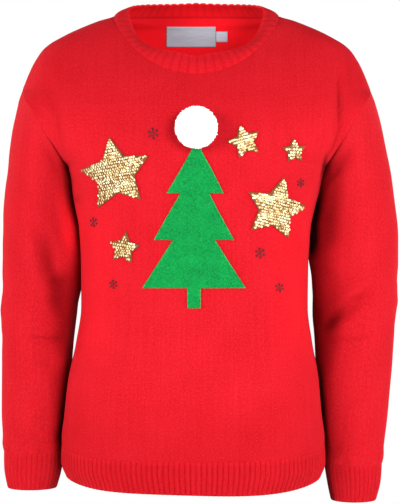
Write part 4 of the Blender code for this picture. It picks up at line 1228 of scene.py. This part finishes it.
def make_core(name):
    rows, cols = 14, 24
    verts, faces = [], []
    half = np.array([POMPOM["radius"], POMPOM["half_thickness"], POMPOM["radius"]]) * 0.9
    for r in range(rows + 1):
        for c in range(cols):
            p, q = math.pi * (r + 0.02) / (rows + 0.04), 2 * math.pi * c / cols
            n = np.array([math.cos(q) * math.sin(p), math.sin(q) * math.sin(p), math.cos(p)])
            verts.append(n * half * (1 + 0.02 * math.sin(5 * q + 3 * p)))
    for r in range(rows):
        for c in range(cols):
            d = (c + 1) % cols
            faces.append((r * cols + c, (r + 1) * cols + c, (r + 1) * cols + d, r * cols + d))
    return to_object(name, np.array(verts) + pompom_centre(), np.array(faces))


def tube(paths, thick, sides=6):
    """Thread along paths of points in mm, with the cloth's outward direction at each, as verts and faces."""
    verts, faces, base = [], [], 0
    for path, out in paths:
        path = np.asarray(path)
        along = unit(np.gradient(path, axis=0))
        across = unit(np.cross(along, out))
        lift = np.cross(across, along)
        n = len(path)
        taper = np.clip(np.minimum(np.arange(n), np.arange(n)[::-1]) / 1.0, 0.35, 1)[:, None]
        for q in np.linspace(0, 2 * math.pi, sides + 1)[:-1]:
            verts.append(path + thick * taper * (across * math.cos(q) + lift * math.sin(q)))
        block = np.stack(verts[-sides:], axis=1).reshape(-1, 3)
        del verts[-sides:]
        verts.append(block)
        for r in range(n - 1):
            for j in range(sides):
                m = (j + 1) % sides
                faces.append((base + r * sides + j, base + r * sides + m, base + (r + 1) * sides + m, base + (r + 1) * sides + j))
        base += n * sides
    return np.concatenate(verts), np.array(faces)


def stitch(side, x0, z0, x1, z1, lift, height, points=7):
    """One sewn stitch that arches over the cloth between two places."""
    t = np.linspace(0, 1, points)
    x, z = x0 + (x1 - x0) * t, z0 + (z1 - z0) * t
    p, out = on_panel(side, x, z, lift + height * np.sin(math.pi * t) ** 0.6)
    return p, out


# small crossed stitches in dark yarn between the motifs: across, height, half size
SPARKS = (
    (-52.0, -156.0, 7.5),
    (-124.0, -262.0, 6.5),
    (80.0, -300.0, 7.0),
    (128.0, -214.0, 5.5),
    (-98.0, -338.0, 6.0),
    (104.0, -342.0, 6.0),
)


def make_sparks(name):
    paths = []
    for x, z, size in SPARKS:
        for k in range(3):
            a = math.radians(90 + 60 * k + 8)
            dx, dz = size * math.cos(a), size * math.sin(a)
            for part in range(2):
                s = -1 if part else 1
                paths.append(stitch("front", x + s * dx * 0.08, z + s * dz * 0.08, x + s * dx, z + s * dz, 0.25, 0.55))
                for turn in (-38, 38):
                    b = a + math.radians(turn)
                    ex, ez = size * 0.36 * math.cos(b), size * 0.36 * math.sin(b)
                    paths.append(stitch("front", x + s * dx * 0.58, z + s * dz * 0.58, x + s * (dx * 0.58 + ex), z + s * (dz * 0.58 + ez), 0.25, 0.45, 5))
    return to_object(name, *tube(paths, 0.42))


def make_label_stitches(name):
    """The white thread that holds the label along its top and corners."""
    paths = []
    low = -KNIT_WALL - PATCH_LIFT - LABEL["wall"]

    def run(x0, z0, x1, z1, step, length):
        n = max(1, int(np.hypot(x1 - x0, z1 - z0) / step))
        ux, uz = (x1 - x0) / (n * step), (z1 - z0) / (n * step)
        for k in range(n):
            ax, az = x0 + (x1 - x0) * (k + 0.25) / n, z0 + (z1 - z0) * (k + 0.25) / n
            bx, bz = ax + ux * length, az + uz * length
            t = np.linspace(0, 1, 5)
            p, out = on_panel("back", ax + (bx - ax) * t, az + (bz - az) * t, low - 0.05 - 0.28 * np.sin(math.pi * t))
            paths.append((p, -out))

    left, right, top, foot = LABEL["left"], LABEL["right"], LABEL["top"], LABEL["foot"]
    run(left + 1.4, top - 1.6, right - 1.4, top - 1.6, 2.6, 1.9)
    run(left + 1.5, top - 1.8, left + 1.5, top - 5.6, 1.9, 1.4)
    run(right - 1.5, top - 1.8, right - 1.5, top - 5.6, 1.9, 1.4)
    return to_object(name, *tube(paths, 0.17, 5))


# ---- materials ----
class Tree:
    """Short ways to add nodes to a material."""

    def __init__(self, name):
        self.material = bpy.data.materials.new(name)
        self.material.use_nodes = True
        self.nodes, self.links = self.material.node_tree.nodes, self.material.node_tree.links
        self.shader = self.nodes["Principled BSDF"]

    def add(self, kind, **inputs):
        node = self.nodes.new("ShaderNode" + kind)
        for key, value in inputs.items():
            self.put(node.inputs[key.replace("_", " ")], value)
        return node

    def put(self, socket, value):
        if isinstance(value, bpy.types.NodeSocket):
            self.links.new(value, socket)
        else:
            socket.default_value = value

    def math(self, operation, *values):
        node = self.nodes.new("ShaderNodeMath")
        node.operation = operation
        for socket, value in zip(node.inputs, values):
            self.put(socket, value)
        return node.outputs[0]

    def ramp(self, factor, stops):
        node = self.nodes.new("ShaderNodeValToRGB")
        self.put(node.inputs[0], factor)
        while len(node.color_ramp.elements) < len(stops):
            node.color_ramp.elements.new(0.5)
        for element, (at, colour) in zip(node.color_ramp.elements, stops):
            element.position, element.color = at, (*colour, 1.0)
        return node.outputs[0]

    def mix(self, factor, a, b):
        node = self.nodes.new("ShaderNodeMix")
        node.data_type = "RGBA"
        self.put(node.inputs["Factor"], factor)
        self.put(node.inputs["A"], a if isinstance(a, bpy.types.NodeSocket) else (*a, 1.0))
        self.put(node.inputs["B"], b if isinstance(b, bpy.types.NodeSocket) else (*b, 1.0))
        return node.outputs["Result"]

    def cloth_uv(self):
        node = self.nodes.new("ShaderNodeUVMap")
        node.uv_map = "cloth"
        parts = self.nodes.new("ShaderNodeSeparateXYZ")
        self.links.new(node.outputs[0], parts.inputs[0])
        return node.outputs[0], parts.outputs[0], parts.outputs[1]

    def place(self):
        return self.nodes.new("ShaderNodeTexCoord").outputs["Object"]

    def noise(self, vector, scale, detail=2.0, roughness=0.5):
        node = self.add("TexNoise", Vector=vector, Scale=scale, Detail=detail, Roughness=roughness)
        return node.outputs[0]

    def scaled(self, vector, size):
        node = self.nodes.new("ShaderNodeMapping")
        self.put(node.inputs[0], vector)
        node.inputs["Scale"].default_value = size
        return node.outputs[0]

    def bump(self, height, distance, strength=1.0, under=None):
        node = self.add("Bump", Height=height, Distance=distance, Strength=strength)
        if under is not None:
            self.links.new(under, node.inputs["Normal"])
        return node.outputs[0]

    def finish(self, colour, roughness, normal=None, specular=0.5, metallic=0.0, sheen=0.0, sheen_rough=0.4, sheen_tint=(1, 1, 1)):
        self.put(self.shader.inputs["Base Color"], colour if isinstance(colour, bpy.types.NodeSocket) else (*colour, 1.0))
        self.put(self.shader.inputs["Roughness"], roughness)
        self.shader.inputs["Specular IOR Level"].default_value = specular
        self.shader.inputs["Metallic"].default_value = metallic
        self.shader.inputs["Sheen Weight"].default_value = sheen
        self.shader.inputs["Sheen Roughness"].default_value = sheen_rough
        self.shader.inputs["Sheen Tint"].default_value = (*sheen_tint, 1.0)
        if normal is not None:
            self.links.new(normal, self.shader.inputs["Normal"])
        return self.material


# the red knit's lit colour and its colour in painted shade
RED_LIT, RED_IN_SHADE = (0.50, 0.0074, 0.0146), (0.31, 0.0014, 0.0030)


def stitches(t, u, v, wale, course):
    """Height from 0 to 1 of stocking stitch: two slanting legs of yarn in each column of stitches."""
    a = t.math("MULTIPLY", t.math("ABSOLUTE", t.math("SUBTRACT", t.math("FRACT", t.math("DIVIDE", u, wale)), 0.5)), 2.0)
    w = t.math("FRACT", t.math("ADD", t.math("DIVIDE", v, course), t.math("MULTIPLY", a, 0.8)))
    yarn = t.math("POWER", t.math("SINE", t.math("MULTIPLY", w, math.pi)), 0.6)
    leg = t.math("POWER", t.math("SINE", t.math("MULTIPLY", a, math.pi)), 0.45)
    return t.math("MULTIPLY", yarn, leg)


def knit(name, wale=WALE, course=COURSE, pitch=None, shade=1.0, groove=0.3, grain_depth=0.55, fuzz_and_sheen_depth=0.62, relief=0.8):
    """Red knitted cloth, with painted shade and painted light from a per-point attribute. pitch, in mm, adds painted
    shade in the grooves of ribbing; shade scales the lit red down as painted shade.
    """
    t = Tree(name)
    uv, u, v = t.cloth_uv()
    h = stitches(t, u, v, wale * MM, course * MM)
    column_noise = t.noise(t.scaled(uv, (420.0, 9.0, 1.0)), 1.0, 1.0)
    patchy = t.noise(uv, 16.0, 3.0, 0.55)
    fine = t.noise(uv, 900.0, 2.0, 0.6)
    value = t.math("ADD", t.math("MULTIPLY", h, 0.5), 0.34)
    value = t.math("ADD", value, t.math("MULTIPLY", t.math("SUBTRACT", column_noise, 0.5), 0.34))
    value = t.math("ADD", value, t.math("MULTIPLY", t.math("SUBTRACT", patchy, 0.5), 0.42))
    value = t.math("ADD", value, t.math("MULTIPLY", t.math("SUBTRACT", fine, 0.5), 0.5))
    grain = t.noise(uv, 360.0, 2.0, 0.6)
    value = t.math("ADD", value, t.math("MULTIPLY", t.math("SUBTRACT", grain, 0.5), grain_depth))
    height = t.math("ADD", t.math("ADD", h, t.math("MULTIPLY", fine, 0.35)), t.math("MULTIPLY", grain, 1.6))
    lit, red_in_shade = tuple(c * shade for c in RED_LIT), RED_IN_SHADE
    # painted shade in the grooves of the ribbing
    if pitch:
        s = t.math("SUBTRACT", t.math("FRACT", t.math("DIVIDE", u, pitch * MM)), 0.5)
        g = t.math("POWER", math.e, t.math("MULTIPLY", t.math("POWER", t.math("DIVIDE", s, 0.15), 2.0), -1.0))
        value = t.math("SUBTRACT", value, t.math("MULTIPLY", g, groove))
    # painted shade between the stitches' legs and a painted pale highlight on their tops, mixed with random yarn tone
    colour = t.ramp(value, [(0.0, tuple(c * 0.8 for c in red_in_shade)), (0.42, tuple(a * 0.45 + b * 0.55 for a, b in zip(red_in_shade, lit))), (0.75, lit), (1.0, (lit[0] * 1.06, lit[1] * 1.7, lit[2] * 1.6))])
    # the per-point attribute: above 0 mixes in painted shade, made more saturated, below 0 painted light
    layer = t.nodes.new("ShaderNodeAttribute")
    layer.attribute_name = "painted_shading"
    dark = t.math("MINIMUM", t.math("MAXIMUM", layer.outputs["Fac"], 0.0), 1.0)
    light = t.math("MINIMUM", t.math("MAXIMUM", t.math("MULTIPLY", layer.outputs["Fac"], -1.0), 0.0), 1.0)
    # random pale specks: the fuzz of loose fibres and painted sheen on them
    fuzz_and_sheen = t.math("MAXIMUM", t.math("MULTIPLY", t.math("SUBTRACT", t.noise(uv, 470.0, 1.0, 0.5), 0.46), fuzz_and_sheen_depth), 0.0)
    colour = t.mix(fuzz_and_sheen, colour, (0.56, 0.036, 0.047))
    # more painted shade in the ribbing's grooves
    if pitch:
        colour = t.mix(t.math("MULTIPLY", g, groove * 1.2), colour, (0.42, 0.0, 0.0))
    colour = t.mix(light, colour, (0.92, 0.0090, 0.0160))
    colour = t.mix(t.math("MULTIPLY", dark, 0.5), colour, (0.5, 0.0, 0.0))
    colour = t.mix(dark, colour, (0.012, 0.0002, 0.0004))
    normal = t.bump(height, 0.0005, relief)
    return t.finish(colour, 0.92, normal, specular=0.02, sheen=0.04, sheen_rough=0.45, sheen_tint=(1.0, 0.25, 0.28))


def terry_material():
    t = Tree("green_terry")
    place = t.place()
    speck = t.noise(place, 420.0, 3.0, 0.6)
    patch = t.noise(place, 60.0, 2.0)
    value = t.math("ADD", t.math("MULTIPLY", speck, 0.8), t.math("MULTIPLY", patch, 0.25))
    colour = t.ramp(value, [(0.3, (0.0015, 0.13, 0.028)), (0.48, (0.0025, 0.27, 0.055)), (0.68, (0.006, 0.37, 0.078))])
    normal = t.bump(t.noise(place, 2400.0, 2.0), 0.0002, 0.5)
    return t.finish(colour, 0.95, normal, specular=0.1, sheen=0.12, sheen_rough=0.5, sheen_tint=(0.4, 1.0, 0.6))


def backing_material():
    t = Tree("gold_backing")
    place = t.place()
    colour = t.ramp(t.noise(place, 900.0, 2.0), [(0.3, (0.09, 0.030, 0.006)), (0.7, (0.22, 0.09, 0.022))])
    return t.finish(colour, 0.6, t.bump(t.noise(place, 1500.0, 2.0), 0.0003, 0.6), specular=0.3)


def sequin_material():
    t = Tree("gold_sequin")
    place = t.place()
    # painted glints and painted shade: each sequin gets a random colour from a shaded brown to a pale cream glint
    cell = t.add("TexVoronoi", Vector=place, Scale=260.0)
    pick = t.nodes.new("ShaderNodeSeparateColor")
    t.links.new(cell.outputs["Color"], pick.inputs[0])
    colour = t.ramp(pick.outputs[0], [(0.0, (0.34, 0.16, 0.04)), (0.25, (0.62, 0.40, 0.14)), (0.55, (0.80, 0.64, 0.33)), (1.0, (0.92, 0.82, 0.54))])
    rough = t.math("ADD", 0.16, t.math("MULTIPLY", t.noise(place, 700.0, 2.0), 0.16))
    return t.finish(colour, rough, t.bump(t.noise(place, 500.0, 1.0), 0.0002, 0.35), specular=0.6, metallic=0.3)


def yarn_material():
    t = Tree("white_yarn")
    place = t.place()
    colour = t.ramp(t.noise(place, 800.0, 2.0), [(0.25, (0.84, 0.84, 0.83)), (0.7, (0.98, 0.98, 0.98))])
    return t.finish(colour, 0.95, t.bump(t.noise(place, 3000.0, 2.0), 0.0002, 0.4), specular=0.1, sheen=0.2, sheen_rough=0.5)


def satin_material(name, light=1.0):
    t = Tree(name)
    uv, u, v = t.cloth_uv()
    weave = t.math("SINE", t.math("MULTIPLY", v, 2 * math.pi / 0.00032))
    warp = t.math("SINE", t.math("MULTIPLY", u, 2 * math.pi / 0.00045))
    streak = t.noise(t.scaled(uv, (60.0, 900.0, 1.0)), 1.0, 2.0)
    colour = t.ramp(t.math("ADD", t.math("MULTIPLY", streak, 0.7), t.math("MULTIPLY", weave, 0.08)), [(0.2, tuple(c * light for c in (0.305, 0.340, 0.400))), (0.6, tuple(c * light for c in (0.40, 0.440, 0.505)))])
    normal = t.bump(t.math("MULTIPLY", weave, warp), 0.00006, 0.5)
    return t.finish(colour, 0.42, normal, specular=0.45, sheen=0.1)


def thread_material(name, dark, light):
    t = Tree(name)
    place = t.place()
    colour = t.ramp(t.noise(place, 1400.0, 2.0), [(0.3, dark), (0.7, light)])
    return t.finish(colour, 0.75, t.bump(t.noise(place, 3500.0, 1.0), 0.0002, 0.5), specular=0.2, sheen=0.15)


# ---- camera, lights and floor ----
def stage():
    scene = bpy.context.scene
    scene.view_settings.view_transform = "Standard"
    camera = bpy.data.cameras.new("camera")
    camera.lens, camera.sensor_width, camera.sensor_fit = 118.3, 36.0, "AUTO"
    camera.clip_end = 50.0
    eye = bpy.data.objects.new("camera", camera)
    eye.location, eye.rotation_euler = (0.00444, -2.1, -0.2986), (math.radians(90), 0, 0)
    scene.collection.objects.link(eye)
    scene.camera = eye

    world = bpy.data.worlds.new("studio")
    world.use_nodes = True
    nodes, links = world.node_tree.nodes, world.node_tree.links
    nodes.clear()
    path = nodes.new("ShaderNodeLightPath")
    seen, lighting = nodes.new("ShaderNodeBackground"), nodes.new("ShaderNodeBackground")
    seen.inputs[0].default_value, seen.inputs[1].default_value = (1, 1, 1, 1), 1.0
    lighting.inputs[0].default_value, lighting.inputs[1].default_value = (1, 1, 1, 1), 0.12
    mix, out = nodes.new("ShaderNodeMixShader"), nodes.new("ShaderNodeOutputWorld")
    links.new(path.outputs["Is Camera Ray"], mix.inputs[0])
    links.new(lighting.outputs[0], mix.inputs[1])
    links.new(seen.outputs[0], mix.inputs[2])
    links.new(mix.outputs[0], out.inputs[0])
    scene.world = world

    def area(name, place, target, size, power):
        light = bpy.data.lights.new(name, "AREA")
        light.shape, light.size, light.energy = "DISK", size, power
        lamp = bpy.data.objects.new(name, light)
        lamp.location = place
        lamp.rotation_euler = (Vector(target) - Vector(place)).to_track_quat("-Z", "Y").to_euler()
        scene.collection.objects.link(lamp)

    for name, place, target, size, power in LIGHTS:
        area(name, place, target, size, power)

    sides = 96
    ring = [(3.0 * math.cos(2 * math.pi * k / sides), 3.0 * math.sin(2 * math.pi * k / sides), -1.42) for k in range(sides)]
    mesh = bpy.data.meshes.new("floor")
    mesh.from_pydata([(0, 0, -1.42)] + ring, [], [(0, 1 + k, 1 + (k + 1) % sides) for k in range(sides)])
    floor = bpy.data.objects.new("floor", mesh)
    scene.collection.objects.link(floor)
    t = Tree("pale_floor")
    colour = t.ramp(t.noise(t.place(), 3.0, 2.0), [(0.3, (0.82, 0.82, 0.81)), (0.7, (0.86, 0.86, 0.855))])
    mesh.materials.append(t.finish(colour, 0.7, specular=0.2))


LIGHTS = (
    ("key_right", (1.1, -2.45, 0.25), (0.0, 0.0, -0.28), 1.1, 67.0),
    ("key_left", (-1.85, -2.05, 0.25), (0.0, 0.0, -0.28), 1.2, 63.0),
    ("side_right", (2.46, -0.66, -0.15), (0.0, 0.0, -0.3), 1.3, 55.0),
    ("side_left", (-2.46, -0.66, -0.15), (0.0, 0.0, -0.3), 1.3, 34.0),
    ("back_left", (-2.2, 1.9, 0.6), (0.0, 0.0, -0.3), 1.0, 80.0),
    ("back_right", (1.6, 2.3, 0.1), (0.0, 0.0, -0.3), 1.5, 45.0),
)


# ---- putting it together ----
def wear(obj, material, slot, *nodes):
    obj.data.materials.append(material)
    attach(obj, "root")
    if nodes:
        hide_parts(*nodes)
    return obj


def build():
    body = knit("red_stocking_stitch", shade=0.955, grain_depth=0.46, fuzz_and_sheen_depth=0.8, relief=0.6)
    arms = knit("red_sleeve_stitch", grain_depth=0.75, fuzz_and_sheen_depth=1.1, relief=0.85)
    hem_rib = knit("red_hem_rib", 1.65, 1.9, HEM_PITCH, 0.98)
    sheets = []

    front = wear(make_panel("front", "front"), body, "red_knit", "front_panel")
    back = wear(make_panel("back", "back"), body, "red_knit", "back_panel")

    for name, table, folds, cuff, sign, seed, area in (
        ("left", LEFT_SLEEVE, LEFT_ARM_CREASES, LEFT_CUFF, 1.0, 31, 0.118),
        ("right", RIGHT_SLEEVE, RIGHT_ARM_CREASES, RIGHT_CUFF, -1.0, 41, 0.108),
    ):
        sleeve = wear(make_sleeve(name + "_arm", table, folds, sign, seed), arms, "red_knit", name + "_sleeve")
        ring = wear(*make_cuff(name + "_cuff_rib", cuff, sign, table), "red_rib", name + "_cuff")

    for side in ("front", "back"):
        band = wear(make_hem(side, side + "_hem"), hem_rib, "red_rib", side + "_hem_rib")
    band = wear(*make_neckband("neck_rib"), "red_rib", "neckband")

    terry = terry_material()
    base = wear(applique("fir_base", "front", tree_outline(), 2.6, PATCH_LIFT, PATCH_LIFT + PATCH_WALL, 0.8), terry, "green_terry", "tree")
    loops = wear(make_loops("fir_loops", tree_outline()), terry, "green_terry")

    backing, sequin = backing_material(), sequin_material()
    for name, across, height, radius, turn in STARS[1:]:
        outline = star_outline(across, height, radius, turn)
        patch = wear(applique(name + "_base", "front", outline, 2.6, PATCH_LIFT, PATCH_LIFT + PATCH_WALL, 0.5), backing, "gold_sequins", name)
        discs = wear(make_sequins(name + "_sequins", outline, turn), sequin, "gold_sequins")
        p = np.array(outline)
        x, z = p[:, 0], p[:, 1]
        area = abs((x * np.roll(z, -1) - z * np.roll(x, -1)).sum()) / 2 * MM * MM

    yarn = yarn_material()
    wear(make_core("pompom_core"), yarn, "white_yarn", "pompom")
    wear(make_pompom("pompom_yarn", 2600), yarn, "white_yarn")

    low = -KNIT_WALL - PATCH_LIFT

    def hems(x, z):
        """The label's two ends are turned under, so they stand a little proud."""
        return -0.22 * np.exp(-((np.minimum(x - LABEL["left"], LABEL["right"] - x) / 2.2) ** 2))

    label = wear(applique("label", "back", box_outline(LABEL), 1.3, low - LABEL["wall"], low, sag=hems), satin_material("grey_satin"), "grey_satin", "neck_label")
    tab = wear(applique("tab", "back", box_outline(TAB), 1.3, low - TAB["wall"], low), satin_material("pale_satin", 1.25), "grey_satin", "size_tab")
    wear(make_label_stitches("label_thread"), thread_material("white_thread", (0.6, 0.6, 0.6), (0.85, 0.85, 0.85)), "white_yarn")
    wear(make_sparks("dark_stitches"), thread_material("dark_thread", (0.016, 0.004, 0.006), (0.045, 0.010, 0.014)), "red_knit")


build()
stage()
